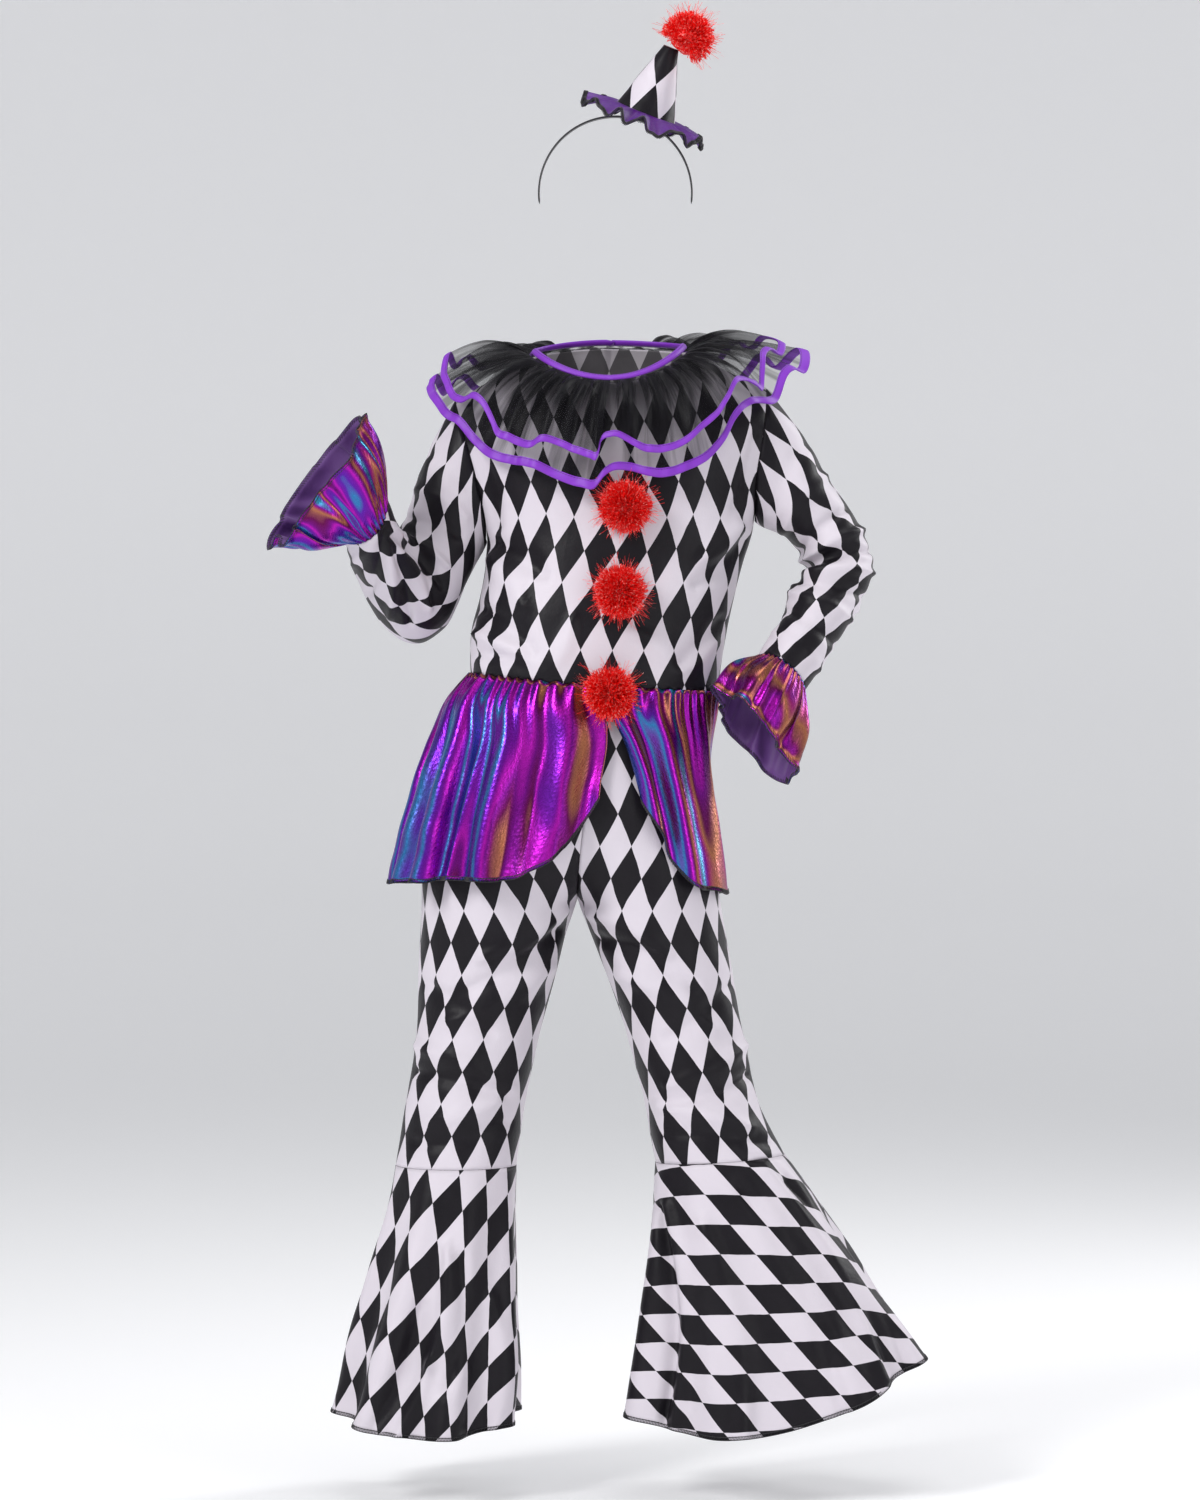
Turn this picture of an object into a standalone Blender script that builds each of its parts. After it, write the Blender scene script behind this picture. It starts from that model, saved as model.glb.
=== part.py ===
"""A child's harlequin costume as worn: a top with ruffs, wrist flounces and a peplum, flared
trousers and a mini hat on a headband. Every cloth piece is one hollow wall.

Sizes are in millimetres and become metres in the mesh. +X is the wearer's left, the front
faces -Y, +Z is up, and the origin is the middle of the neck opening.
"""

import math

import bpy
import numpy as np

MM = 0.001
TAU = 2 * math.pi

SEAM_GAP = 0.3
KNIT = 1.6
GATHERED_CLOTH = 1.3
ORGANZA = 1.1
TAPE = 2.4
TAPE_WIDTH = 6.5

BODY_ROUNDNESS = 2.3
SHOULDER_ROUNDNESS = 2.2
SHOULDER_START = -120.0
NECK_SHARE = 0.49
NECK_FRONT = -24.0
NECK_BACK = 20.0
NECK_CROWN = 38.0
ARMHOLE_REACH = 40.0
ARMHOLE_BEVEL = 35.0
ARMHOLE_GAP = 1.7

CROTCH = -519.0
CROTCH_CURVE_START = -425.0
WAISTBAND_HEIGHT = 26.0

RIGHT, LEFT = -1, 1


def table(columns, rows):
    """Rows of numbers as one array for each named column."""
    return dict(zip(columns.split(), np.array(rows, float).T))


# Edges of the body at each height, and how far it reaches forward and back.
TORSO = table("z left right front back", (
    (-345, -126, 105, 97, 78),
    (-300, -130, 111, 96, 78),
    (-257, -129, 118, 94, 79),
    (-225, -121, 125, 92, 81),
    (-190, -115, 134, 89, 84),
    (-165, -114, 142, 87, 86),
    (-110, -124, 145, 85, 85),
    (-60, -138, 153, 84, 84),
    (-25, -147, 156, 84, 84),
    (30, -150, 158, 84, 84),
))

# Armpit, shoulder tip and neck side heights for the wearer's right and left.
ARMHOLES = {
    RIGHT: {"armpit": -170.0, "tip": -36.0, "neck": 7.0},
    LEFT: {"armpit": -152.0, "tip": -24.0, "neck": 12.0},
}

# Rings of each sleeve from the shoulder to the wrist: the point on the body side, the point
# opposite it, and half the depth across them.
ARM_COLUMNS = "in_x in_y in_z out_x out_y out_z depth"
ARMS = {
    RIGHT: table(ARM_COLUMNS, (
        (-116, 5, -175, -177, 0, -97, 46),
        (-127, 8, -196, -187, -5, -133, 44),
        (-139, 12, -216, -193, -12, -153, 42),
        (-149, 18, -234, -196, -20, -162, 42),
        (-163, 25, -253, -197, -28, -164, 43),
        (-188, 25, -267, -197, -38, -165, 43),
        (-211, 10, -257, -198, -50, -164, 42),
        (-225, -15, -235, -200, -62, -159, 40),
        (-236, -45, -210, -202, -78, -151, 37),
        (-243, -75, -189, -206, -98, -139, 34),
        (-249, -100, -171, -211, -115, -126, 32),
    )),
    LEFT: table(ARM_COLUMNS, (
        (151, 5, -156, 196, 5, -75, 45),
        (162, 8, -160, 211, 10, -101, 43),
        (174, 10, -164, 229, 15, -127, 41),
        (184, 12, -174, 244, 18, -150, 41),
        (191, 12, -185, 254, 20, -170, 41),
        (194, 10, -196, 260, 20, -189, 41),
        (189, 4, -208, 256, 13, -212, 40),
        (179, -5, -222, 247, 2, -232, 38),
        (172, -18, -242, 231, -14, -260, 36),
        (161, -34, -260, 214, -30, -285, 34),
        (146, -50, -284, 188, -48, -321, 32),
    )),
}

# Rim of each wrist flounce: centre, and the two half axes of its loop.
CUFF_RIMS = {
    RIGHT: {"centre": (-272, -128, -120), "along": (-37, -8, -57), "across": (21, -38, 8)},
    LEFT: {"centre": (143, -62, -362), "along": (-34, 0, 40), "across": (-5, 44, -14)},
}
CUFF_FOLDS = 8
CUFF_FOLD = 5.0

# Edge of each ruff round the neck, by the turn from centre front towards the wearer's left.
UPPER_RUFF = table("turn x y z", (
    (0, -5, -113, -92),
    (30, 55, -108, -90),
    (55, 108, -89, -56),
    (75, 142, -46, -21),
    (95, 165, 8, 12),
    (120, 140, 62, 24),
    (150, 75, 100, 8),
    (180, 0, 112, 0),
    (210, -72, 100, 0),
    (240, -128, 60, 2),
    (268, -153, 5, 0),
    (285, -147, -43, -25),
    (308, -108, -88, -62),
    (335, -56, -104, -84),
))
LOWER_RUFF = table("turn x y z", (
    (0, -6, -109, -113),
    (30, 64, -106, -104),
    (55, 118, -78, -82),
    (75, 158, -37, -43),
    (95, 196, 14, -2),
    (120, 160, 76, 8),
    (150, 85, 112, -14),
    (180, 0, 122, -24),
    (210, -82, 112, -20),
    (240, -146, 68, -16),
    (268, -172, 0, -24),
    (285, -160, -39, -52),
    (308, -118, -75, -84),
    (335, -66, -102, -102),
))
RUFF_FOLDS = 13
RUFF_FOLD = 7.0
RUFF_ARCH = 11.0
RUFF_PUFF = 5.0

# Troughs of the peplum's gathers from the waist seam (0) to the hem (1), and the turn of its
# two front edges.
PEPLUM = table("down left right front back starts ends", (
    (0.00, -130, 110, 96, 78, 4.5, 3.2),
    (0.10, -146, 106.5, 101, 86, 8.0, 7.0),
    (0.30, -160, 100, 104, 98, 19.0, 11.3),
    (0.50, -172, 99, 106, 106, 26.0, 11.0),
    (0.75, -185, 106, 108, 112, 29.0, 10.0),
    (1.00, -197, 113, 110, 116, 30.0, 9.5),
))
PEPLUM_HEM = table("turn z", ((0, -497), (90, -512), (180, -508), (270, -502)))
PEPLUM_FOLDS = 19
PEPLUM_FOLD = 14.0
PEPLUM_CORNER = 62.0
PEPLUM_CORNER_LIFT = 0.42

# Trousers at the hips, inside the peplum, with the middle seam.
HIPS = table("z left right front back seam", (
    (-560, -177, 110, 97, 104, -28),
    (-500, -177, 107, 98, 104, -26),
    (-455, -171, 99, 98, 103, -22),
    (-405, -160, 91, 97, 98, -16),
    (-368, -150, 90, 95, 90, -12),
    (-330, -136, 96, 92, 79, -7),
    (-300, -125, 102, 92.8, 74.6, -3),
))

# Sides of each leg and half its depth.
LEG_COLUMNS = "z outer inner depth middle"
LEGS = {
    RIGHT: table(LEG_COLUMNS, (
        (-776, -203, -86, 57, 4),
        (-745, -198, -82, 56, 4),
        (-713, -193, -77, 57, 4),
        (-674, -186, -69, 59, 4),
        (-635, -182, -60, 62, 4),
        (-592, -181, -48, 68, 3),
        (-548, -179, -37, 76, 3),
        (-519, -178, -27.4, 84, 3),
        (-440, -176, -20, 90, 3),
    )),
    LEFT: table(LEG_COLUMNS, (
        (-769, 174, 49, 58, 4),
        (-745, 162, 44, 57, 4),
        (-713, 148, 38, 57, 4),
        (-674, 139, 28, 59, 4),
        (-635, 131, 17, 62, 4),
        (-592, 124, 2, 68, 3),
        (-548, 117, -15, 76, 3),
        (-519, 113, -26, 84, 3),
        (-440, 110, -20, 90, 3),
    )),
}

# Troughs of each leg flounce from its seam (0) to the hem (1).
FLOUNCE_COLUMNS = "down outer_x outer_z inner_x inner_z front front_z back back_z"
FLOUNCES = {
    RIGHT: table(FLOUNCE_COLUMNS, (
        (0.00, -203, -776, -86, -776, 57, -776, 57, -776),
        (0.15, -208, -812, -87, -812, 62, -813, 63, -812),
        (0.40, -221, -872, -88, -873, 68, -878, 72, -873),
        (0.70, -236, -944, -90, -947, 74, -955, 80, -948),
        (1.00, -248, -1014, -93, -1018, 80, -1030, 88, -1022),
    )),
    LEFT: table(FLOUNCE_COLUMNS, (
        (0.00, 174, -765, 49, -773, 58, -769, 58, -769),
        (0.15, 196, -797, 47, -809, 64, -808, 64, -806),
        (0.40, 228, -846, 42, -870, 73, -873, 74, -868),
        (0.70, 262, -905, 34, -942, 82, -950, 85, -942),
        (1.00, 296, -962, 25, -1012, 90, -1024, 94, -1014),
    )),
}
# Folds of the flounces by their turn from the inner seam over the front, how far each
# stands out at the hem, its half width in degrees, and how far it leans by the hem.
FOLD_COLUMNS = "turn reach width lean"
FLOUNCE_FOLDS = {
    RIGHT: table(FOLD_COLUMNS, (
        (28, 14, 11, 4),
        (72, 13, 12, 6),
        (112, 17, 13, 18),
        (160, 13, 12, 12),
        (205, 15, 13, 6),
        (250, 17, 13, 0),
        (292, 15, 13, 0),
        (334, 13, 12, 0),
    )),
    LEFT: table(FOLD_COLUMNS, (
        (22, 13, 10, 2),
        (62, 12, 12, 10),
        (108, 17, 13, 20),
        (152, 15, 12, 14),
        (198, 15, 13, 6),
        (245, 17, 13, 0),
        (290, 15, 13, 0),
        (332, 13, 12, 0),
    )),
}

POMPOMS = {
    "upper": (19.0, -100.7, -143.0),
    "middle": (14.0, -106.6, -224.0),
    "lower": (4.6, -114.8, -320.0),
}
POMPOM_CORE = 20.0
POMPOM_REACH = 27.0
POMPOM_FLAT = 14.0
POMPOM_TIP = 0.3

HEAD = (10.0, -12.0, 165.0)
BAND_RADIUS = 75.0
BAND_WIDTH = 9.0
BAND_THICK = 2.0
BAND_END = 98.0
HAT_LEAN = 21.0
HAT_NOD = 11.0
HAT_LIFT = 1.4
BASE_RADIUS = 31.0
BASE_THICK = 3.0
CONE_RADIUS = 31.0
CONE_HEIGHT = 92.0
CONE_CUT = 73.7
BRIM_RADIUS = 63.0
BRIM_HEIGHT = 7.5
BRIM_DROOP = 9.0
BRIM_FOLDS = 11
BRIM_FOLD = 3.4
HAT_POMPOM = (79.0, -30.0, 312.0)


def smooth(knots, values, at):
    """A smooth curve through the values of a table, read at any places."""
    at = np.asarray(at, float)
    slopes = np.gradient(values, knots, axis=0)
    i = np.clip(np.searchsorted(knots, at, side="right") - 1, 0, len(knots) - 2)
    span = knots[i + 1] - knots[i]
    t = (at - knots[i]) / span
    extra = (1,) * (values.ndim - 1)
    t, span = t.reshape(t.shape + extra), span.reshape(span.shape + extra)
    rise = values[i + 1] - values[i]
    a = slopes[i] * span - rise
    b = rise - slopes[i + 1] * span
    return values[i] + t * rise + t * (1 - t) * (a * (1 - t) + b * t)


def read(rows, key, at, column):
    return smooth(rows[key], rows[column], at)


def read_round(rows, turn, column):
    """The same for a table that closes on itself, with turns in degrees."""
    knots = rows["turn"]
    knots = np.concatenate([knots[-2:] - 360, knots, knots[:2] + 360])
    values = rows[column]
    values = np.concatenate([values[-2:], values, values[:2]])
    return smooth(knots, values, np.mod(turn, 360))


def unit(vectors):
    return vectors / np.linalg.norm(vectors, axis=-1, keepdims=True)


def stack(*columns):
    return np.stack(np.broadcast_arrays(*columns), axis=-1)


def rounded(share, power):
    return np.clip(1 - np.abs(share) ** power, 0, 1) ** (1 / power)


def normals_of(grid, closed):
    """Unit normals of a grid of points, turning from its first to its second direction."""
    if closed:
        along = np.roll(grid, -1, axis=0) - np.roll(grid, 1, axis=0)
    else:
        along = np.gradient(grid, axis=0)
    return unit(np.cross(along, np.gradient(grid, axis=1)))


def facing_out(grid, normals, inside):
    """The normals turned to face away from a point inside."""
    out = np.sum(normals * (grid - np.array(inside, float)), axis=-1)
    return normals if out.mean() > 0 else -normals


def flat(normals):
    """The normals laid level, for a wall cut off square at a level seam."""
    level = normals.copy()
    level[..., 2] = 0
    return unit(level)


def material(name, colour, roughness, metallic=0.0):
    made = bpy.data.materials.new(name)
    made.use_nodes = True
    shader = made.node_tree.nodes["Principled BSDF"]
    shader.inputs["Base Color"].default_value = (*colour, 1.0)
    shader.inputs["Roughness"].default_value = roughness
    shader.inputs["Metallic"].default_value = metallic
    return made


def add_body(name, points, faces, look, smooth_shading=True):
    mesh = bpy.data.meshes.new(name)
    mesh.from_pydata((np.array(points) * MM).tolist(), [], faces)
    mesh.validate()
    mesh.update()
    mesh.shade_smooth() if smooth_shading else mesh.shade_flat()
    body = bpy.data.objects.new(name, mesh)
    mesh.materials.append(look)
    bpy.context.scene.collection.objects.link(body)
    return body


def add_wall(name, outer, inner, closed, look):
    """One closed wall between two grids of points that match."""
    columns, rows = outer.shape[:2]
    count = columns * rows
    steps = columns if closed else columns - 1

    def at(side, i, j):
        return side * count + (i % columns) * rows + j

    faces = []
    for i in range(steps):
        for j in range(rows - 1):
            faces.append([at(0, i, j), at(0, i + 1, j), at(0, i + 1, j + 1), at(0, i, j + 1)])
            faces.append([at(1, i, j), at(1, i, j + 1), at(1, i + 1, j + 1), at(1, i + 1, j)])
        faces.append([at(0, i, 0), at(1, i, 0), at(1, i + 1, 0), at(0, i + 1, 0)])
        last = rows - 1
        faces.append([at(0, i, last), at(0, i + 1, last), at(1, i + 1, last), at(1, i, last)])
    if not closed:
        for j in range(rows - 1):
            faces.append([at(0, 0, j), at(0, 0, j + 1), at(1, 0, j + 1), at(1, 0, j)])
            end = columns - 1
            faces.append([at(0, end, j), at(1, end, j), at(1, end, j + 1), at(0, end, j + 1)])
    points = np.concatenate([outer.reshape(-1, 3), inner.reshape(-1, 3)])
    corners = points[np.array(faces)]
    middle = corners.mean(axis=1)
    lean = np.cross(corners[:, 2] - corners[:, 0], corners[:, 3] - corners[:, 1])
    if np.sum(middle * lean) < 0:
        faces = [face[::-1] for face in faces]
    return add_body(name, points, faces, look)


def torso_ring(z, share, face):
    """A point of the body at a height; share runs from -1 to 1 across, face is -1 in front."""
    left, right = read(TORSO, "z", z, "left"), read(TORSO, "z", z, "right")
    x = (left + right) / 2 + share * (right - left) / 2
    reach = read(TORSO, "z", z, "front" if face < 0 else "back")
    crown = shoulder_height(share, virtual=True)
    climb = np.clip((z - SHOULDER_START) / (crown - SHOULDER_START), 0, 1)
    body = reach * rounded(share, BODY_ROUNDNESS) * rounded(climb, SHOULDER_ROUNDNESS)
    arm = armhole_half(z, share) * share**2
    return stack(x, face * np.sqrt(body**2 + arm**2), z)


def shoulder_height(share, virtual=False, face=-1):
    """The top edge of the bodice across the body: shoulders and the neckline between them."""
    side = np.where(share < 0, RIGHT, LEFT)
    tip = np.where(side == RIGHT, ARMHOLES[RIGHT]["tip"], ARMHOLES[LEFT]["tip"])
    neck = np.where(side == RIGHT, ARMHOLES[RIGHT]["neck"], ARMHOLES[LEFT]["neck"])
    across = np.abs(share) / NECK_SHARE
    slope = neck + (tip - neck) * (np.abs(share) - NECK_SHARE) / (1 - NECK_SHARE)
    if virtual:
        inside = neck + NECK_CROWN * (1 - np.clip(across, 0, 1) ** 2)
    else:
        low = NECK_FRONT if face < 0 else NECK_BACK
        inside = neck + (low - neck) * (1 - np.clip(across, 0, 1) ** 2) ** 0.75
    return np.where(across < 1, inside, slope)


def armhole_half(z, share):
    """Half the width of the armhole at a height."""
    half = np.zeros(np.broadcast(z, share).shape)
    for side in (RIGHT, LEFT):
        armpit, tip = ARMHOLES[side]["armpit"], ARMHOLES[side]["tip"]
        height = 2 * (z - armpit) / (tip - armpit) - 1
        width = ARMHOLE_REACH * np.sqrt(np.clip(1 - height**2, 0, 1))
        half = np.where(np.sign(share) == side, width, half)
    return half


def waist_height(x, y):
    """The waist seam, lower at the wearer's left and dipping in front."""
    return -309.0 - 0.068 * x - 4.0 * np.clip(-y / 96, 0, 1) ** 2


def armhole_loop(side, turn):
    """The armhole from the armpit (0) over the front to the shoulder tip and back."""
    armpit, tip = ARMHOLES[side]["armpit"], ARMHOLES[side]["tip"]
    z = armpit + (tip - armpit) * (1 - np.cos(turn)) / 2
    x = read(TORSO, "z", z, "left" if side == RIGHT else "right")
    return stack(x, -ARMHOLE_REACH * np.sin(turn), z)


def armhole_inward(side, points):
    """Directions from the armhole's edge into the wall, bevelled towards the body."""
    armpit, tip = ARMHOLES[side]["armpit"], ARMHOLES[side]["tip"]
    centre = points.copy()
    centre[..., 0] -= side * ARMHOLE_BEVEL
    centre[..., 1] = 0
    centre[..., 2] = (armpit + tip) / 2
    return unit(centre - points)


def bodice_grid(face, columns, rows):
    """The outer points of the front (-1) or back (1) of the bodice."""
    neck_turn = math.asin(NECK_SHARE) * 2 / math.pi
    sides = max(3, columns // 4)
    turns = np.concatenate([
        np.linspace(-1, -neck_turn, sides, endpoint=False),
        np.linspace(-neck_turn, neck_turn, columns - 2 * sides, endpoint=False),
        np.linspace(neck_turn, 1, sides + 1),
    ])
    share = np.sin(turns * math.pi / 2)[:, None]
    up = np.linspace(0, 1, rows + 1)[None, :]
    up = 0.35 * up + 0.65 * np.sin(up * math.pi / 2)
    top = shoulder_height(share, face=face)
    first = torso_ring(np.full(share.shape, -310.0), share, face)
    bottom = waist_height(first[..., 0], first[..., 1]) + SEAM_GAP
    z = bottom + (top - bottom) * up
    return torso_ring(z, np.broadcast_to(share, z.shape), face), share


def add_bodice(face, name, look):
    grid, share = bodice_grid(face, 16, 12)
    inward = -facing_out(grid, normals_of(grid, False), (0, 0, -180))
    inward[:, 0] = flat(inward[:, 0])
    for column, side in ((0, RIGHT), (-1, LEFT)):
        edge = grid[column]
        seam = np.zeros_like(edge)
        seam[:, 0] = -side
        above = (edge[:, 2] > ARMHOLES[side]["armpit"] + 1)[:, None]
        inward[column] = np.where(above, armhole_inward(side, edge), seam)
    shoulder = np.abs(share[:, 0]) >= NECK_SHARE - 1e-6
    inward[shoulder, -1] = (0, 0, -1)
    inner = grid + inward * KNIT
    for points in (grid, inner):
        points[0, :, 1] += face * SEAM_GAP / 2
        points[-1, :, 1] += face * SEAM_GAP / 2
        points[shoulder, -1, 1] += face * SEAM_GAP / 2
    add_wall(name, grid, inner, False, look)


def arm_rings(side, turn):
    """Rings of a sleeve after the armhole, and the direction across each."""
    arm = ARMS[side]
    inner = stack(arm["in_x"], arm["in_y"], arm["in_z"])
    outer = stack(arm["out_x"], arm["out_y"], arm["out_z"])
    centre = (inner + outer) / 2
    along = (inner - outer) / 2
    path = unit(np.gradient(centre, axis=0))
    across = unit(np.cross(path, along))
    front = -across if across[0, 1] > 0 else across
    depth = arm["depth"][:, None]
    bend = np.sin(turn)[None, :, None] * (front * depth)[:, None, :]
    rings = centre[:, None] + np.cos(turn)[None, :, None] * along[:, None] + bend
    return centre, along, front * depth, rings


def sleeve_grid(side, turn, steps):
    """Outer points of a sleeve: turn goes round it, steps run along its rings."""
    rings = arm_rings(side, turn)[3]
    start = armhole_loop(side, turn)
    start[..., 0] += side * ARMHOLE_GAP
    rings = np.concatenate([start[None], rings])
    return smooth(np.arange(len(rings), dtype=float), rings, steps).transpose(1, 0, 2)


def add_sleeve(side, name, look):
    turn = np.arange(16) * TAU / 16
    steps = np.concatenate([[0, 0.35, 0.7], np.arange(1, 12)])
    grid = sleeve_grid(side, turn, steps)
    centre = grid.mean(axis=0)
    normal = normals_of(grid, True)
    if np.sum(normal * (grid - centre[None])) < 0:
        normal = -normal
    inward = -normal
    start = grid[:, 0].copy()
    start[:, 0] -= side * ARMHOLE_GAP
    inward[:, 0] = armhole_inward(side, start)
    inward[:, -1] = unit(centre[-1] - grid[:, -1])
    add_wall(name, grid, grid + inward * KNIT, True, look)


def cuff_grid(side, turn, down):
    """Outer points of a wrist flounce from its seam (0) to its rim (1)."""
    centre, along, across, _ = arm_rings(side, turn)
    path = unit(centre[-1] - centre[-2]) * SEAM_GAP
    rim = CUFF_RIMS[side]
    far = np.array(rim["across"], float)
    if np.dot(far, across[-1]) < 0:
        far = -far
    share = down[None, :, None]
    flare = np.sin(share * math.pi / 2) * 0.35 + share * 0.65
    middle = (centre[-1] + path) * (1 - share) + np.array(rim["centre"], float) * share
    one = along[-1] * (1 - flare) + np.array(rim["along"], float) * flare
    two = across[-1] * (1 - flare) + far * flare
    wave = fold_wave(turn / TAU, CUFF_FOLDS, side)[:, None, None]
    swell = 1 + (CUFF_FOLD / 48) * wave * share**0.8
    angle = turn[:, None, None]
    return middle + swell * (np.cos(angle) * one + np.sin(angle) * two)


def fold_wave(share, folds, seed):
    """Uneven folds round a gathered edge, between -1 and 1."""
    drift = 0.22 * np.sin(TAU * 2 * share + seed) + 0.13 * np.sin(TAU * 5 * share + 2 * seed)
    size = 0.82 + 0.18 * np.sin(TAU * 3 * share + 1.7 * seed)
    return size * np.sin(TAU * (folds * share + drift))


def add_cuff(side, name, look):
    turn = np.arange(32) * TAU / 32
    grid = cuff_grid(side, turn, np.array([0, 0.3, 0.65, 1.0]))
    centre = grid.mean(axis=0)
    normal = normals_of(grid, True)
    if np.sum(normal * (grid - centre[None])) < 0:
        normal = -normal
    inward = -normal
    inward[:, 0] = unit(centre[0] - grid[:, 0])
    add_wall(name, grid, grid + inward * GATHERED_CLOTH, True, look)


def neck_loop(turn):
    """The bodice's neck edge, with turns from centre front towards the wearer's left."""
    sine, cosine = np.sin(turn), np.cos(turn)
    share = NECK_SHARE * sine
    front = cosine > 0
    z = np.where(
        front,
        shoulder_height(share, face=-1),
        shoulder_height(share, face=1),
    )
    ahead = torso_ring(z, share, -1)
    behind = torso_ring(z, share, 1)
    return np.where(front[..., None], ahead, behind)


def neck_normal(points):
    """Outward directions at the neck edge, forward or back and up."""
    level = points.copy()
    level[..., 0] = points[..., 0] / 76
    level[..., 1] = points[..., 1] / 64
    level[..., 2] = 0
    out = unit(level) * 0.72
    out[..., 2] = 0.7
    return unit(out)


def ruff_grid(rows, turn, reach, lift, puff=0.0):
    """Outer points of a ruff; reach runs from the neck edge (0) to the ruff's edge (1)."""
    start = neck_loop(turn)
    start = start + neck_normal(start) * lift
    degrees = np.degrees(turn)
    end = stack(*(read_round(rows, degrees, axis) for axis in "xyz"))
    share = reach[None, :, None]
    line = start[:, None] * (1 - share) + end[:, None] * share
    level = (end - start)[:, None]
    side = np.stack([-np.cos(turn), -np.sin(turn), 0 * turn], axis=-1)[:, None]
    raised = unit(np.cross(level, side))
    raised = np.where(raised[..., 2:] < 0, -raised, raised)
    arch = RUFF_ARCH * 4 * share * (1 - share) * (1 - 0.35 * share)
    wave = RUFF_FOLD * fold_wave(turn / TAU, RUFF_FOLDS, 1.3)[:, None, None] * share**1.1
    return line + raised * (arch + wave + puff * np.minimum(2 * share, 1))


def add_ruff(rows, name, lift, look, tape_look):
    turn = (np.arange(52) + 0.5) * TAU / 52
    length = 82.0 if rows is UPPER_RUFF else 104.0
    puff = RUFF_PUFF if rows is UPPER_RUFF else 0.0
    cut = 1 - (TAPE_WIDTH + SEAM_GAP) / length
    grid = ruff_grid(rows, turn, np.array([0.02, 0.3, 0.62, cut]), lift, puff)
    outward = facing_out(grid, normals_of(grid, True), (0, 0, -150))
    add_wall(name, grid, grid - outward * ORGANZA, True, look)
    fine = ruff_grid(rows, turn, np.array([1 - TAPE_WIDTH / length, 1.0]), lift, puff)
    outward = facing_out(fine, normals_of(fine, True), (0, 0, -150))
    spare = (TAPE - ORGANZA) / 2
    top, under = fine + outward * spare, fine - outward * (TAPE - spare)
    add_wall(name + "_binding", top, under, True, tape_look)


def add_neck_binding(look):
    turn = (np.arange(52) + 0.5) * TAU / 52
    edge = neck_loop(turn)
    out = neck_normal(edge)
    ahead = unit(np.roll(edge, -1, axis=0) - np.roll(edge, 1, axis=0))
    up = unit(np.cross(ahead, out))
    up = np.where(up[:, 2:] < 0, -up, up)
    foot = edge + out * 5.8 + up * (SEAM_GAP + 2.0)
    outer = np.stack([foot, foot + up * 6.5 - out * 0.4], axis=1)
    inner = outer - out[:, None] * 6.8
    add_wall("neck_binding", outer, inner, True, look)


def peplum_grid(columns, downs):
    """Outer points of the peplum from one front edge round the back to the other."""
    share = np.linspace(0, 1, columns + 1)[:, None]
    edge = np.minimum(share, 1 - share) * 860
    short = PEPLUM_CORNER_LIFT * np.clip(1 - edge / PEPLUM_CORNER, 0, 1) ** 1.8
    down = downs[None, :] * (1 - short)
    starts = np.radians(read(PEPLUM, "down", down, "starts"))
    ends = TAU + np.radians(read(PEPLUM, "down", down, "ends"))
    turn = starts + share * (ends - starts)
    left, right = read(PEPLUM, "down", down, "left"), read(PEPLUM, "down", down, "right")
    front, back = read(PEPLUM, "down", down, "front"), read(PEPLUM, "down", down, "back")
    sine, cosine = np.sin(turn), np.cos(turn)
    round_off = 2 / BODY_ROUNDNESS
    x = (left + right) / 2 + np.sign(sine) * np.abs(sine) ** round_off * (right - left) / 2
    deep = np.where(cosine > 0, -front, back)
    y = deep * np.abs(cosine) ** round_off
    top = waist_height(x, y)
    hem = read_round(PEPLUM_HEM, np.degrees(turn), "z")
    z = top + (hem - top) * down
    grid = stack(x, y, z)
    out = flat(facing_out(grid, normals_of(grid, False), (-20, 0, -400)))
    wave = 0.5 + 0.5 * fold_wave(np.broadcast_to(share, down.shape), PEPLUM_FOLDS, 2.1)
    calm = 0.55 + 0.45 * np.clip(edge / 60, 0, 1)
    narrow = 1 - 0.4 * np.clip(np.sin(turn), 0, 1)
    grid = grid + out * (PEPLUM_FOLD * wave * calm * narrow * down**0.8)[..., None]
    return grid


def add_peplum(look):
    grid = peplum_grid(76, np.array([0, 0.1, 0.3, 0.55, 0.78, 1.0]))
    inward = -facing_out(grid, normals_of(grid, False), (-20, 0, -400))
    inward[:, 0] = flat(inward[:, 0])
    add_wall("peplum", grid, grid + inward * GATHERED_CLOTH, False, look)


def leg_point(side, face, share, z):
    """A point of a trouser leg; share runs from the middle or inner seam to the side seam."""
    leg = LEGS[side]
    fall = np.clip((CROTCH_CURVE_START - z) / (CROTCH_CURVE_START - CROTCH), 0, 1)
    blend = 1 - np.sqrt(1 - fall**2)
    edge = read(HIPS, "z", z, "left" if side == RIGHT else "right")
    seam = read(HIPS, "z", z, "seam")
    reach = read(HIPS, "z", z, "front" if face < 0 else "back")
    across = np.sin(share * math.pi / 2)
    hip = stack(seam + across * (edge - seam), face * reach * rounded(across, BODY_ROUNDNESS), z)
    outer, inner = read(leg, "z", z, "outer"), read(leg, "z", z, "inner")
    inner = np.where(z > CROTCH + 1, seam, inner)
    depth, middle = read(leg, "z", z, "depth"), read(leg, "z", z, "middle")
    x = (outer + inner) / 2 - np.cos(share * math.pi) * (outer - inner) / 2
    round_leg = stack(x, middle + face * depth * np.sin(share * math.pi), z)
    return hip * (1 - blend[..., None]) + round_leg * blend[..., None], blend


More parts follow.
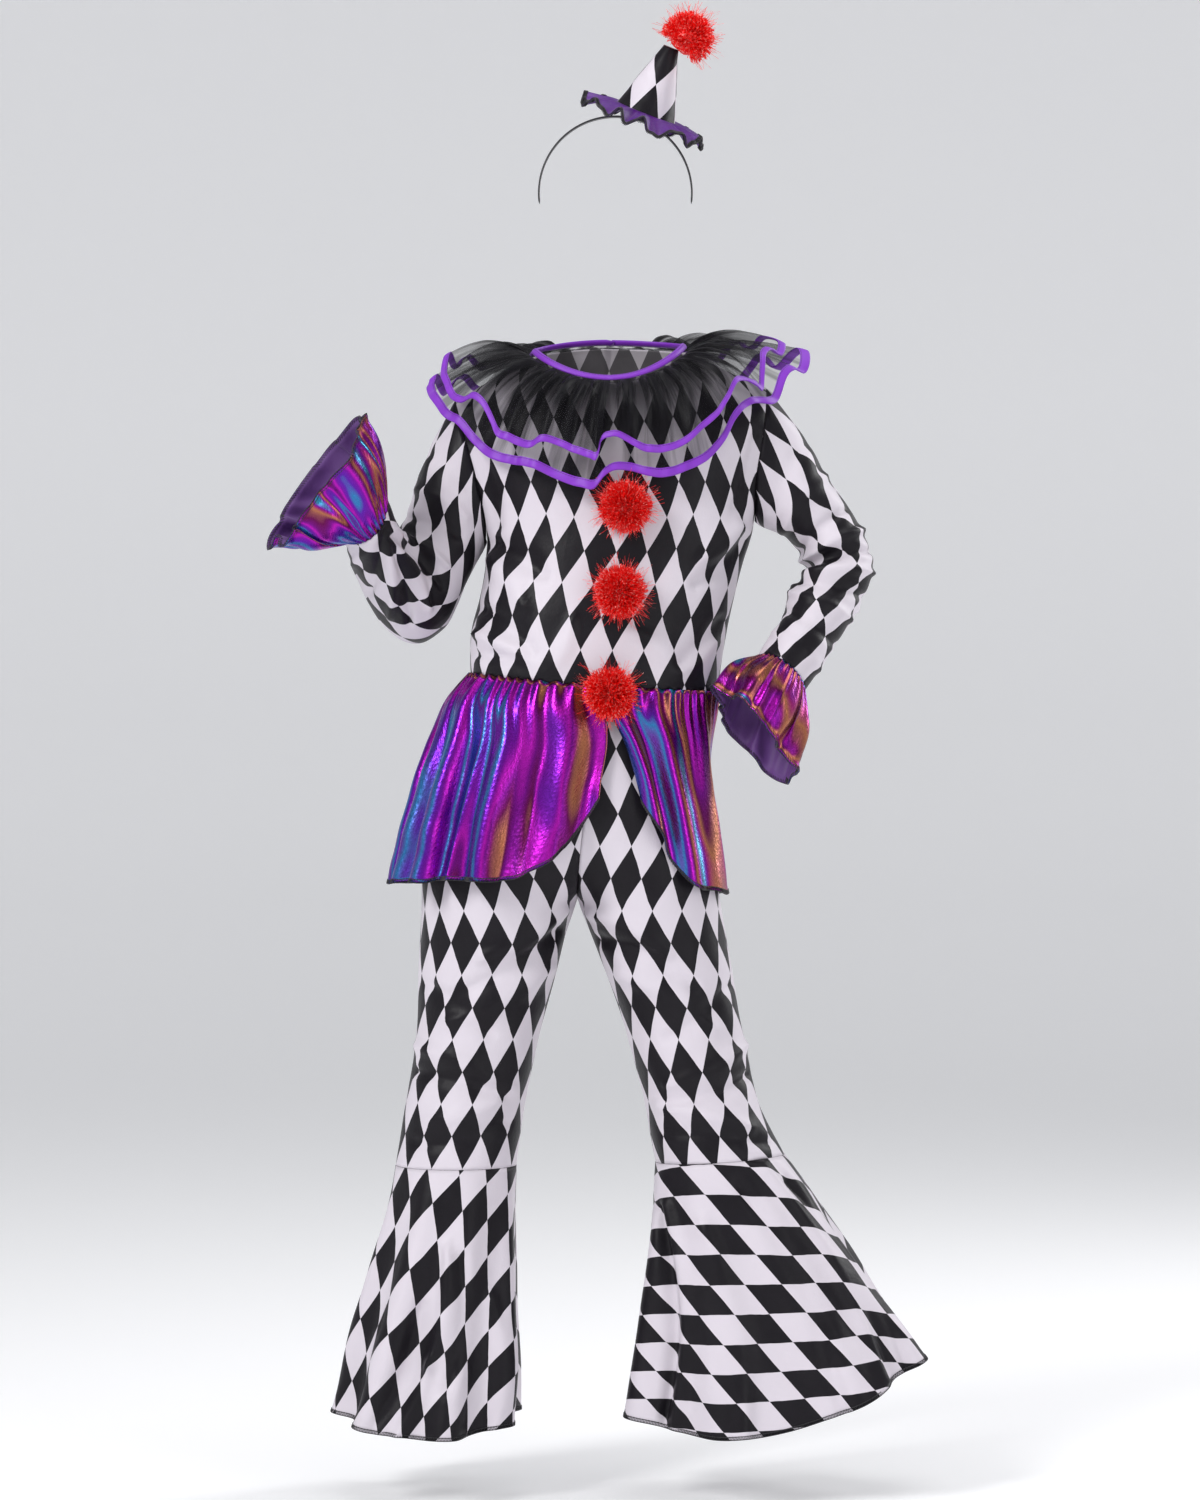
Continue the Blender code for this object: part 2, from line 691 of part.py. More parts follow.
def add_leg(side, face, name, look):
    share = np.linspace(0, 1, 9)[:, None]
    foot = LEGS[side]["z"][0] + SEAM_GAP / 2
    heights = np.array([-326.4, -368, -410, -440, -470, -495, -511, CROTCH, -548, -592, -635,
                        -680, -725, 0.0])
    heights[-1] = foot
    z = np.broadcast_to(heights[None, :], (len(share), len(heights)))
    grid, blend = leg_point(side, face, np.broadcast_to(share, z.shape), z)
    if side == LEFT:
        slope = np.clip((-725 - z) / 44, 0, 1)
        grid[..., 2] += slope * (grid[..., 0] - 111) * 0.064
    middle_x = 0.5 * (grid[0, -1, 0] + grid[-1, -1, 0])
    inward = -facing_out(grid, normals_of(grid, False), (middle_x, 0, -550))
    inward[:, 0] = flat(inward[:, 0])
    inward[:, -1] = flat(inward[:, -1])
    inward[-1] = (-side, 0, 0)
    mix = blend[0][:, None]
    inward[0] = unit((1 - mix) * np.array([0, -face, 0.0]) + mix * np.array([side, 0.0, 0.0]))
    inner = grid + inward * KNIT
    for points in (grid, inner):
        points[-1, :, 1] += face * SEAM_GAP / 2
        points[0, :, 1] += face * SEAM_GAP / 2 * blend[0]
        points[0, :, 0] += side * SEAM_GAP / 2
    add_wall(name, grid, inner, False, look)


def add_waistband(look):
    share = np.sin(np.linspace(-1, 1, 15) * math.pi / 2)
    front = waistband_edge(share[:-1], -1)
    back = waistband_edge(share[:0:-1], 1)
    ring = np.concatenate([front, back])
    level = flat(ring - np.array([-10, 0, 0]))
    outer = np.stack([ring - (0, 0, WAISTBAND_HEIGHT), ring], axis=1)
    inner = outer - level[:, None] * 2.6
    add_wall("waistband", outer, inner, True, look)


def waistband_edge(share, face):
    z = np.full(share.shape, -300.0)
    left, right = read(HIPS, "z", z, "left"), read(HIPS, "z", z, "right")
    x = (left + right) / 2 + share * (right - left) / 2
    reach = read(HIPS, "z", z, "front" if face < 0 else "back")
    return stack(x, face * reach * rounded(share, BODY_ROUNDNESS), z)


def flounce_grid(side, turn, down):
    """Outer points of a leg flounce; the turn starts at the inner seam, over the front."""
    rows = FLOUNCES[side]

    def column(name):
        return read(rows, "down", down, name)[None, :]

    cosine, sine = np.cos(turn)[:, None], np.sin(turn)[:, None]
    toward = (1 - cosine) / 2
    x = column("inner_x") * (1 - toward) + column("outer_x") * toward
    ahead = np.clip(sine, 0, 1)
    behind = np.clip(-sine, 0, 1)
    y = 4 - column("front") * ahead + column("back") * behind
    level = column("inner_z") * (1 - toward) + column("outer_z") * toward
    middle = (column("inner_z") + column("outer_z")) / 2
    z = level + (column("front_z") - middle) * ahead**2 + (column("back_z") - middle) * behind**2
    grid = stack(x, y, z)
    out = flat(facing_out(grid, normals_of(grid, True), (x.mean(), 0, -900)))
    wave = flounce_folds(side, turn, down)
    return grid + out * wave[..., None]


def flounce_folds(side, turn, down):
    """How far the folds of a flounce stand out from its troughs."""
    folds = FLOUNCE_FOLDS[side]
    total = np.zeros((len(turn), len(down)))
    degrees = np.degrees(turn)[:, None]
    for centre, reach, width, lean in zip(*(folds[key] for key in FOLD_COLUMNS.split())):
        place = centre + lean * down[None, :]
        apart = np.mod(degrees - place + 180, 360) - 180
        total += reach * np.exp(-((apart / width) ** 2)) * down[None, :] ** 0.9
    return total


def add_flounce(side, name, look):
    columns = 48
    turn = np.arange(columns) * TAU / columns
    down = np.array([0, 0.15, 0.4, 0.7, 1.0])
    grid = flounce_grid(side, turn, down)
    grid[:, 0, 2] -= SEAM_GAP / 2
    middle = (grid[0, 2] + grid[columns // 2, 2]) / 2
    inward = -facing_out(grid, normals_of(grid, True), middle)
    inward[:, 0] = flat(inward[:, 0])
    inner = grid + inward * KNIT
    half = columns // 2
    for face, word in ((-1, "front"), (1, "back")):
        first = 0 if face < 0 else half
        pick = np.arange(first, first + half + 1) % columns
        panel, lining = grid[pick].copy(), inner[pick].copy()
        for points in (panel, lining):
            points[0, :, 1] += face * SEAM_GAP / 2
            points[-1, :, 1] += face * SEAM_GAP / 2
        add_wall(f"{name}_{word}", panel, lining, False, look)


def add_pompom(name, centre, facing, look):
    """A round backing with three-sided locks fused into it, flat where it is sewn on."""
    corners, faces = icosphere()
    facing = unit(np.array(facing, float))
    points = []
    depth = corners @ facing
    squash = np.where(depth * POMPOM_CORE < -POMPOM_FLAT, -POMPOM_FLAT - depth * POMPOM_CORE, 0)
    base = corners * POMPOM_CORE + squash[:, None] * facing
    points = [tuple(p) for p in base]
    solid = []
    for index, face in enumerate(faces):
        outward = unit(corners[face].mean(axis=0))
        if outward @ facing < -0.38:
            solid.append(list(face))
            continue
        reach = POMPOM_REACH + 1.5 * math.sin(index * 2.4)
        tip = outward * reach
        ring = base[face] - outward * (base[face] @ outward)[:, None]
        first = len(points)
        points.extend(tuple(tip + POMPOM_TIP * spread) for spread in ring)
        for a in range(3):
            b = (a + 1) % 3
            solid.append([face[a], face[b], first + b, first + a])
        solid.append([first, first + 1, first + 2])
    add_body(name, np.array(points) + np.array(centre, float), solid, look)


def icosphere():
    """Corners and faces of a sphere of 80 triangles."""
    golden = (1 + math.sqrt(5)) / 2
    corners = []
    for one in (-1, 1):
        for two in (-golden, golden):
            corners += [(0, one, two), (one, two, 0), (two, 0, one)]
    corners = [np.array(c) / math.hypot(1, golden) for c in corners]
    near = 1.1
    faces = []
    count = len(corners)
    for i in range(count):
        for j in range(i + 1, count):
            for k in range(j + 1, count):
                trio = (corners[i], corners[j], corners[k])
                sides = [np.linalg.norm(trio[a] - trio[a - 1]) for a in range(3)]
                if max(sides) < near:
                    turned = np.dot(np.cross(trio[1] - trio[0], trio[2] - trio[0]), trio[0]) > 0
                    faces.append((i, j, k) if turned else (i, k, j))
    middles = {}

    def middle(a, b):
        key = (min(a, b), max(a, b))
        if key not in middles:
            middles[key] = len(corners)
            corners.append(unit(corners[a] + corners[b]))
        return middles[key]

    fine = []
    for a, b, c in faces:
        ab, bc, ca = middle(a, b), middle(b, c), middle(c, a)
        fine += [(a, ab, ca), (b, bc, ab), (c, ca, bc), (ab, bc, ca)]
    return np.array(corners), [list(face) for face in fine]


def hat_axes():
    """The hat's own right, forward and up directions."""
    lean, nod = math.radians(HAT_LEAN), math.radians(HAT_NOD)
    up = unit(np.array([math.sin(lean), -math.sin(nod), math.cos(lean) * math.cos(nod)]))
    right = unit(np.cross(np.array([0, 1, 0.0]), up))
    return right, np.cross(up, right), up


def hat_foot():
    lean = math.radians(HAT_LEAN)
    reach = BAND_RADIUS + HAT_LIFT
    return np.array(HEAD) + reach * np.array([math.sin(lean), 0, math.cos(lean)])


def hat_ring(turn, radius, height):
    """Points round the hat's axis at a radius and a height above its base."""
    right, ahead, up = hat_axes()
    radius, height = np.asarray(radius)[..., None], np.asarray(height)[..., None]
    level = np.sin(turn)[..., None] * right - np.cos(turn)[..., None] * ahead
    return hat_foot() + radius * level + height * up


def cone_radius(height):
    return CONE_RADIUS * (1 - (height - BASE_THICK) / CONE_HEIGHT)


def add_hat(looks):
    turn = np.arange(28) * TAU / 28
    heights = np.array([BASE_THICK + SEAM_GAP, 22, 43, CONE_CUT])
    grid = hat_ring(turn[:, None], cone_radius(heights)[None, :], heights[None, :])
    inner = hat_ring(turn[:, None], cone_radius(heights)[None, :] - 1.8, heights[None, :])
    add_wall("hat_cone", grid, inner, True, looks["knit"])

    base = hat_ring(turn[:, None], BASE_RADIUS * np.ones((1, 2)), np.array([[0, BASE_THICK]]))
    hole = hat_ring(turn[:, None], 4.0 * np.ones((1, 2)), np.array([[0, BASE_THICK]]))
    add_wall("hat_base", base, hole, True, looks["black"])

    turn = (np.arange(44) + 0.25) * TAU / 44
    reach = np.array([0, 0.5, 1.0])[None, :]
    wave = fold_wave(turn / TAU, BRIM_FOLDS, 0.6)[:, None] * BRIM_FOLD * reach
    start = cone_radius(BRIM_HEIGHT) + 2 * SEAM_GAP
    radius = start + (BRIM_RADIUS - start) * reach + 0 * wave
    height = BRIM_HEIGHT - BRIM_DROOP * reach**1.5 + wave
    grid = hat_ring(turn[:, None], radius, height)
    under = hat_ring(turn[:, None], radius, height - GATHERED_CLOTH)
    add_wall("hat_brim", grid, under, True, looks["purple"])

    right, ahead, up = hat_axes()
    add_pompom("hat_pompom", HAT_POMPOM, up + 0.35 * right, looks["red"])
    add_headband(looks["black"])


def add_headband(look):
    angle = np.radians(np.linspace(-BAND_END, BAND_END, 25))
    points = []
    for radius in (BAND_RADIUS, BAND_RADIUS - BAND_THICK):
        x, z = HEAD[0] + radius * np.sin(angle), HEAD[2] + radius * np.cos(angle)
        edges = [stack(x, HEAD[1] + half * BAND_WIDTH / 2, z) for half in (-1, 1)]
        points.append(np.stack(edges, axis=1))
    add_wall("headband", points[0], points[1], False, look)


def build():
    for old in list(bpy.data.objects):
        bpy.data.objects.remove(old, do_unlink=True)
    colours = {
        "knit": ((0.42, 0.40, 0.43), 0.38, 0.0),
        "purple": ((0.20, 0.05, 0.28), 0.3, 0.4),
        "organza": ((0.02, 0.02, 0.022), 0.5, 0.0),
        "tape": ((0.26, 0.03, 0.58), 0.45, 0.0),
        "red": ((0.62, 0.01, 0.01), 0.35, 0.2),
        "black": ((0.015, 0.014, 0.016), 0.6, 0.0),
    }

    def look(kind, node):
        colour, roughness, metallic = colours[kind]
        return material(f"{kind}_{node}", colour, roughness, metallic)

    add_bodice(-1, "bodice_front", look("knit", "bodice_front"))
    add_bodice(1, "bodice_back", look("knit", "bodice_back"))
    for side, word in ((RIGHT, "right"), (LEFT, "left")):
        add_sleeve(side, f"sleeve_{word}", look("knit", f"sleeve_{word}"))
        add_cuff(side, f"cuff_flounce_{word}", look("purple", f"cuff_{word}"))
        add_leg(side, -1, f"leg_{word}_front", look("knit", f"leg_{word}_front"))
        add_leg(side, 1, f"leg_{word}_back", look("knit", f"leg_{word}_back"))
        add_flounce(side, f"flounce_{word}", look("knit", f"flounce_{word}"))
    lower_lift = 2 * SEAM_GAP + ORGANZA
    add_ruff(LOWER_RUFF, "ruff_lower", lower_lift, look("organza", "lower"), look("tape", "lower"))
    upper_lift = lower_lift + 2 * SEAM_GAP + ORGANZA + 0.6
    add_ruff(UPPER_RUFF, "ruff_upper", upper_lift, look("organza", "upper"), look("tape", "upper"))
    add_neck_binding(look("tape", "neck"))
    add_peplum(look("purple", "peplum"))
    add_waistband(look("black", "waistband"))
    for word, centre in POMPOMS.items():
        add_pompom(f"pompom_{word}", centre, (0, -1, 0), look("red", word))
    add_hat({kind: look(kind, "hat") for kind in ("knit", "purple", "black", "red")})


build()
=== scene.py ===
"""Looks of the harlequin costume: every cloth piece as a thin shell on its solid's form."""

import math

import bpy
import numpy as np
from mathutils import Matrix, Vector, noise


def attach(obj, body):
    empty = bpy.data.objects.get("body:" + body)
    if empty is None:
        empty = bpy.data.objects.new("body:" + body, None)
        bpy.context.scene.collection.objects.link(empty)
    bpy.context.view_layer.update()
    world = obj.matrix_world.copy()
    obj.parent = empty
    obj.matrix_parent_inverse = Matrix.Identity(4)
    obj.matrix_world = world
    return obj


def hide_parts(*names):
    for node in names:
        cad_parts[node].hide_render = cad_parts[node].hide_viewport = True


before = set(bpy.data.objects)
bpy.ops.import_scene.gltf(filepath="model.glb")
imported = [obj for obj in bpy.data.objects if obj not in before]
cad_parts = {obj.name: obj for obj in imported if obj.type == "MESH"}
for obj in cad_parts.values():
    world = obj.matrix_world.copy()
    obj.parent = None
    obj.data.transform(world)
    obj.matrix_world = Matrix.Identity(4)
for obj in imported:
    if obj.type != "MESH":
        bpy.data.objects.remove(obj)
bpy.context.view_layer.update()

MM = 0.001
TAU = 2 * math.pi

SEAM_GAP = 0.3
KNIT = 1.6
GATHERED_CLOTH = 1.3
ORGANZA = 1.1
TAPE = 2.4
TAPE_WIDTH = 6.5

BODY_ROUNDNESS = 2.3
SHOULDER_ROUNDNESS = 2.2
SHOULDER_START = -120.0
NECK_SHARE = 0.49
NECK_FRONT = -24.0
NECK_BACK = 20.0
NECK_CROWN = 38.0
ARMHOLE_REACH = 40.0
ARMHOLE_BEVEL = 35.0
ARMHOLE_GAP = 1.7

CROTCH = -519.0
CROTCH_CURVE_START = -425.0
HIP_EASE_END = -580.0
WAISTBAND_HEIGHT = 26.0

RIGHT, LEFT = -1, 1


def table(columns, rows):
    """Rows of numbers as one array for each named column."""
    return dict(zip(columns.split(), np.array(rows, float).T))

# Edges of the body at each height, and how far it reaches forward and back.
TORSO = table("z left right front back", (
    (-345, -126, 105, 97, 78),
    (-300, -130, 111, 96, 78),
    (-257, -129, 118, 94, 79),
    (-225, -121, 125, 92, 81),
    (-190, -115, 134, 89, 84),
    (-165, -114, 142, 87, 86),
    (-110, -124, 145, 85, 85),
    (-60, -138, 153, 84, 84),
    (-25, -147, 156, 84, 84),
    (30, -150, 158, 84, 84),
))

# Armpit, shoulder tip and neck side heights for the wearer's right and left.
ARMHOLES = {
    RIGHT: {"armpit": -170.0, "tip": -36.0, "neck": 7.0},
    LEFT: {"armpit": -152.0, "tip": -24.0, "neck": 12.0},
}

# Rings of each sleeve from the shoulder to the wrist: the point on the body side, the point
# opposite it, and half the depth across them.
ARM_COLUMNS = "in_x in_y in_z out_x out_y out_z depth"
ARMS = {
    RIGHT: table(ARM_COLUMNS, (
        (-116, 5, -175, -177, 0, -97, 46),
        (-127, 8, -196, -187, -5, -133, 44),
        (-139, 12, -216, -193, -12, -153, 42),
        (-149, 18, -234, -196, -20, -162, 42),
        (-163, 25, -253, -197, -28, -164, 43),
        (-188, 25, -267, -197, -38, -165, 43),
        (-211, 10, -257, -198, -50, -164, 42),
        (-225, -15, -235, -200, -62, -159, 40),
        (-236, -45, -210, -202, -78, -151, 37),
        (-243, -75, -189, -206, -98, -139, 34),
        (-249, -100, -171, -211, -115, -126, 32),
    )),
    LEFT: table(ARM_COLUMNS, (
        (151, 5, -156, 196, 5, -75, 45),
        (162, 8, -160, 211, 10, -101, 43),
        (174, 10, -164, 229, 15, -127, 41),
        (184, 12, -174, 244, 18, -150, 41),
        (191, 12, -185, 254, 20, -170, 41),
        (194, 10, -196, 260, 20, -189, 41),
        (189, 4, -208, 256, 13, -212, 40),
        (179, -5, -222, 247, 2, -232, 38),
        (172, -18, -242, 231, -14, -260, 36),
        (161, -34, -260, 214, -30, -285, 34),
        (146, -50, -284, 188, -48, -321, 32),
    )),
}

# Rim of each wrist flounce: centre, and the two half axes of its loop.
CUFF_RIMS = {
    RIGHT: {"centre": (-272, -128, -120), "along": (-37, -8, -57), "across": (21, -38, 8)},
    LEFT: {"centre": (143, -62, -362), "along": (-34, 0, 40), "across": (-5, 44, -14)},
}
CUFF_FOLDS = 8
CUFF_FOLD = 5.0
RUFF_FOLDS = 13
RUFF_ARCH = 11.0
RUFF_PUFF = 5.0

# Troughs of the peplum's gathers from the waist seam (0) to the hem (1), and the turn of its
# two front edges.
PEPLUM = table("down left right front back starts ends", (
    (0.00, -130, 110, 96, 78, 4.5, 3.2),
    (0.10, -146, 106.5, 101, 86, 8.0, 7.0),
    (0.30, -160, 100, 104, 98, 19.0, 11.3),
    (0.50, -172, 99, 106, 106, 26.0, 11.0),
    (0.75, -185, 106, 108, 112, 29.0, 10.0),
    (1.00, -197, 113, 110, 116, 30.0, 9.5),
))
PEPLUM_HEM = table("turn z", ((0, -497), (90, -512), (180, -508), (270, -502)))
PEPLUM_FOLDS = 19
PEPLUM_FOLD = 14.0
PEPLUM_CORNER = 62.0
PEPLUM_CORNER_LIFT = 0.42

# Trousers at the hips, inside the peplum, with the middle seam.
HIPS = table("z left right front back seam", (
    (-560, -177, 110, 97, 104, -28),
    (-500, -177, 107, 98, 104, -26),
    (-455, -171, 99, 98, 103, -22),
    (-405, -160, 91, 97, 98, -16),
    (-368, -150, 90, 95, 90, -12),
    (-330, -136, 96, 92, 79, -7),
    (-300, -125, 102, 92.8, 74.6, -3),
))

# Sides of each leg and half its depth.
LEG_COLUMNS = "z outer inner depth middle"
LEGS = {
    RIGHT: table(LEG_COLUMNS, (
        (-776, -203, -86, 57, 4),
        (-745, -198, -82, 56, 4),
        (-713, -193, -77, 57, 4),
        (-674, -186, -69, 59, 4),
        (-635, -182, -60, 62, 4),
        (-592, -181, -48, 68, 3),
        (-548, -179, -37, 76, 3),
        (-519, -178, -27.4, 84, 3),
        (-440, -176, -20, 90, 3),
    )),
    LEFT: table(LEG_COLUMNS, (
        (-769, 174, 49, 58, 4),
        (-745, 162, 44, 57, 4),
        (-713, 148, 38, 57, 4),
        (-674, 139, 28, 59, 4),
        (-635, 131, 17, 62, 4),
        (-592, 124, 2, 68, 3),
        (-548, 117, -15, 76, 3),
        (-519, 113, -26, 84, 3),
        (-440, 110, -20, 90, 3),
    )),
}

# Troughs of each leg flounce from its seam (0) to the hem (1).
FLOUNCE_COLUMNS = "down outer_x outer_z inner_x inner_z front front_z back back_z"
FLOUNCES = {
    RIGHT: table(FLOUNCE_COLUMNS, (
        (0.00, -203, -776, -86, -776, 57, -776, 57, -776),
        (0.15, -208, -812, -87, -812, 62, -813, 63, -812),
        (0.40, -221, -872, -88, -873, 68, -878, 72, -873),
        (0.70, -236, -944, -90, -947, 74, -955, 80, -948),
        (1.00, -248, -1014, -93, -1018, 80, -1030, 88, -1022),
    )),
    LEFT: table(FLOUNCE_COLUMNS, (
        (0.00, 174, -765, 49, -773, 58, -769, 58, -769),
        (0.15, 196, -797, 47, -809, 64, -808, 64, -806),
        (0.40, 228, -846, 42, -870, 73, -873, 74, -868),
        (0.70, 262, -905, 34, -942, 82, -950, 85, -942),
        (1.00, 296, -962, 25, -1012, 90, -1024, 94, -1014),
    )),
}
# Folds of the flounces by their turn from the inner seam over the front, how far each
# stands out at the hem, its half width in degrees, and how far it leans by the hem.
FOLD_COLUMNS = "turn reach width lean"
FLOUNCE_FOLDS = {
    RIGHT: table(FOLD_COLUMNS, (
        (28, 14, 11, 4),
        (72, 13, 12, 6),
        (112, 17, 13, 18),
        (160, 13, 12, 12),
        (205, 15, 13, 6),
        (250, 17, 13, 0),
        (292, 15, 13, 0),
        (334, 13, 12, 0),
    )),
    LEFT: table(FOLD_COLUMNS, (
        (22, 13, 10, 2),
        (62, 12, 12, 10),
        (108, 17, 13, 20),
        (152, 15, 12, 14),
        (198, 15, 13, 6),
        (245, 17, 13, 0),
        (290, 15, 13, 0),
        (332, 13, 12, 0),
    )),
}

POMPOMS = {
    "upper": (19.0, -100.7, -143.0),
    "middle": (14.0, -106.6, -224.0),
    "lower": (4.6, -114.8, -320.0),
}
POMPOM_CORE = 20.0
POMPOM_REACH = 27.0
POMPOM_FLAT = 14.0
POMPOM_TIP = 0.3

HEAD = (10.0, -12.0, 165.0)
BAND_RADIUS = 75.0
BAND_WIDTH = 9.0
BAND_THICK = 2.0
BAND_END = 98.0
HAT_LEAN = 21.0
HAT_NOD = 11.0
HAT_LIFT = 1.4
BASE_RADIUS = 31.0
BASE_THICK = 3.0
CONE_RADIUS = 31.0
CONE_HEIGHT = 92.0
CONE_CUT = 73.7
BRIM_RADIUS = 63.0
BRIM_HEIGHT = 7.5
BRIM_DROOP = 9.0
BRIM_FOLDS = 11
BRIM_FOLD = 3.4
HAT_POMPOM = (79.0, -30.0, 312.0)


def smooth(knots, values, at):
    """A smooth curve through the values of a table, read at any places."""
    at = np.asarray(at, float)
    slopes = np.gradient(values, knots, axis=0)
    i = np.clip(np.searchsorted(knots, at, side="right") - 1, 0, len(knots) - 2)
    span = knots[i + 1] - knots[i]
    t = (at - knots[i]) / span
    extra = (1,) * (values.ndim - 1)
    t, span = t.reshape(t.shape + extra), span.reshape(span.shape + extra)
    rise = values[i + 1] - values[i]
    a = slopes[i] * span - rise
    b = rise - slopes[i + 1] * span
    return values[i] + t * rise + t * (1 - t) * (a * (1 - t) + b * t)


def read(rows, key, at, column):
    return smooth(rows[key], rows[column], at)


def read_round(rows, turn, column):
    """The same for a table that closes on itself, with turns in degrees."""
    knots = rows["turn"]
    knots = np.concatenate([knots[-2:] - 360, knots, knots[:2] + 360])
    values = rows[column]
    values = np.concatenate([values[-2:], values, values[:2]])
    return smooth(knots, values, np.mod(turn, 360))


def unit(vectors):
    return vectors / np.linalg.norm(vectors, axis=-1, keepdims=True)


def stack(*columns):
    return np.stack(np.broadcast_arrays(*columns), axis=-1)


def rounded(share, power):
    return np.clip(1 - np.abs(share) ** power, 0, 1) ** (1 / power)


def normals_of(grid, closed):
    """Unit normals of a grid of points, turning from its first to its second direction."""
    if closed:
        along = np.roll(grid, -1, axis=0) - np.roll(grid, 1, axis=0)
    else:
        along = np.gradient(grid, axis=0)
    return unit(np.cross(along, np.gradient(grid, axis=1)))


def facing_out(grid, normals, inside):
    """The normals turned to face away from a point inside."""
    out = np.sum(normals * (grid - np.array(inside, float)), axis=-1)
    return normals if out.mean() > 0 else -normals


def flat(normals):
    """The normals laid level, for a wall cut off square at a level seam."""
    level = normals.copy()
    level[..., 2] = 0
    return unit(level)


def torso_ring(z, share, face):
    """A point of the body at a height; share runs from -1 to 1 across, face is -1 in front."""
    left, right = read(TORSO, "z", z, "left"), read(TORSO, "z", z, "right")
    x = (left + right) / 2 + share * (right - left) / 2
    reach = read(TORSO, "z", z, "front" if face < 0 else "back")
    crown = shoulder_height(share, virtual=True)
    climb = np.clip((z - SHOULDER_START) / (crown - SHOULDER_START), 0, 1)
    body = reach * rounded(share, BODY_ROUNDNESS) * rounded(climb, SHOULDER_ROUNDNESS)
    arm = armhole_half(z, share) * share**2
    return stack(x, face * np.sqrt(body**2 + arm**2), z)


def shoulder_height(share, virtual=False, face=-1):
    """The top edge of the bodice across the body: shoulders and the neckline between them."""
    side = np.where(share < 0, RIGHT, LEFT)
    tip = np.where(side == RIGHT, ARMHOLES[RIGHT]["tip"], ARMHOLES[LEFT]["tip"])
    neck = np.where(side == RIGHT, ARMHOLES[RIGHT]["neck"], ARMHOLES[LEFT]["neck"])
    across = np.abs(share) / NECK_SHARE
    slope = neck + (tip - neck) * (np.abs(share) - NECK_SHARE) / (1 - NECK_SHARE)
    if virtual:
        inside = neck + NECK_CROWN * (1 - np.clip(across, 0, 1) ** 2)
    else:
        low = NECK_FRONT if face < 0 else NECK_BACK
        inside = neck + (low - neck) * (1 - np.clip(across, 0, 1) ** 2) ** 0.75
    return np.where(across < 1, inside, slope)


def armhole_half(z, share):
    """Half the width of the armhole at a height."""
    half = np.zeros(np.broadcast(z, share).shape)
    for side in (RIGHT, LEFT):
        armpit, tip = ARMHOLES[side]["armpit"], ARMHOLES[side]["tip"]
        height = 2 * (z - armpit) / (tip - armpit) - 1
        width = ARMHOLE_REACH * np.sqrt(np.clip(1 - height**2, 0, 1))
        half = np.where(np.sign(share) == side, width, half)
    return half


def waist_height(x, y):
    """The waist seam, lower at the wearer's left and dipping in front."""
    return -309.0 - 0.068 * x - 4.0 * np.clip(-y / 96, 0, 1) ** 2


def armhole_loop(side, turn):
    """The armhole from the armpit (0) over the front to the shoulder tip and back."""
    armpit, tip = ARMHOLES[side]["armpit"], ARMHOLES[side]["tip"]
    z = armpit + (tip - armpit) * (1 - np.cos(turn)) / 2
    x = read(TORSO, "z", z, "left" if side == RIGHT else "right")
    return stack(x, -ARMHOLE_REACH * np.sin(turn), z)


def armhole_inward(side, points):
    """Directions from the armhole's edge into the wall, bevelled towards the body."""
    armpit, tip = ARMHOLES[side]["armpit"], ARMHOLES[side]["tip"]
    centre = points.copy()
    centre[..., 0] -= side * ARMHOLE_BEVEL
    centre[..., 1] = 0
    centre[..., 2] = (armpit + tip) / 2
    return unit(centre - points)


def bodice_grid(face, columns, rows):
    """The outer points of the front (-1) or back (1) of the bodice."""
    neck_turn = math.asin(NECK_SHARE) * 2 / math.pi
    sides = max(3, columns // 4)
    turns = np.concatenate([
        np.linspace(-1, -neck_turn, sides, endpoint=False),
        np.linspace(-neck_turn, neck_turn, columns - 2 * sides, endpoint=False),
        np.linspace(neck_turn, 1, sides + 1),
    ])
    share = np.sin(turns * math.pi / 2)[:, None]
    up = np.linspace(0, 1, rows + 1)[None, :]
    up = 0.35 * up + 0.65 * np.sin(up * math.pi / 2)
    top = shoulder_height(share, face=face)
    first = torso_ring(np.full(share.shape, -310.0), share, face)
    bottom = waist_height(first[..., 0], first[..., 1]) + SEAM_GAP
    z = bottom + (top - bottom) * up
    return torso_ring(z, np.broadcast_to(share, z.shape), face), share


def arm_rings(side, turn):
    """Rings of a sleeve after the armhole, and the direction across each."""
    arm = ARMS[side]
    inner = stack(arm["in_x"], arm["in_y"], arm["in_z"])
    outer = stack(arm["out_x"], arm["out_y"], arm["out_z"])
    centre = (inner + outer) / 2
    along = (inner - outer) / 2
    path = unit(np.gradient(centre, axis=0))
    across = unit(np.cross(path, along))
    front = -across if across[0, 1] > 0 else across
    depth = arm["depth"][:, None]
    bend = np.sin(turn)[None, :, None] * (front * depth)[:, None, :]
    rings = centre[:, None] + np.cos(turn)[None, :, None] * along[:, None] + bend
    return centre, along, front * depth, rings


def sleeve_grid(side, turn, steps):
    """Outer points of a sleeve: turn goes round it, steps run along its rings."""
    rings = arm_rings(side, turn)[3]
    start = armhole_loop(side, turn)
    start[..., 0] += side * ARMHOLE_GAP
    rings = np.concatenate([start[None], rings])
    return smooth(np.arange(len(rings), dtype=float), rings, steps).transpose(1, 0, 2)


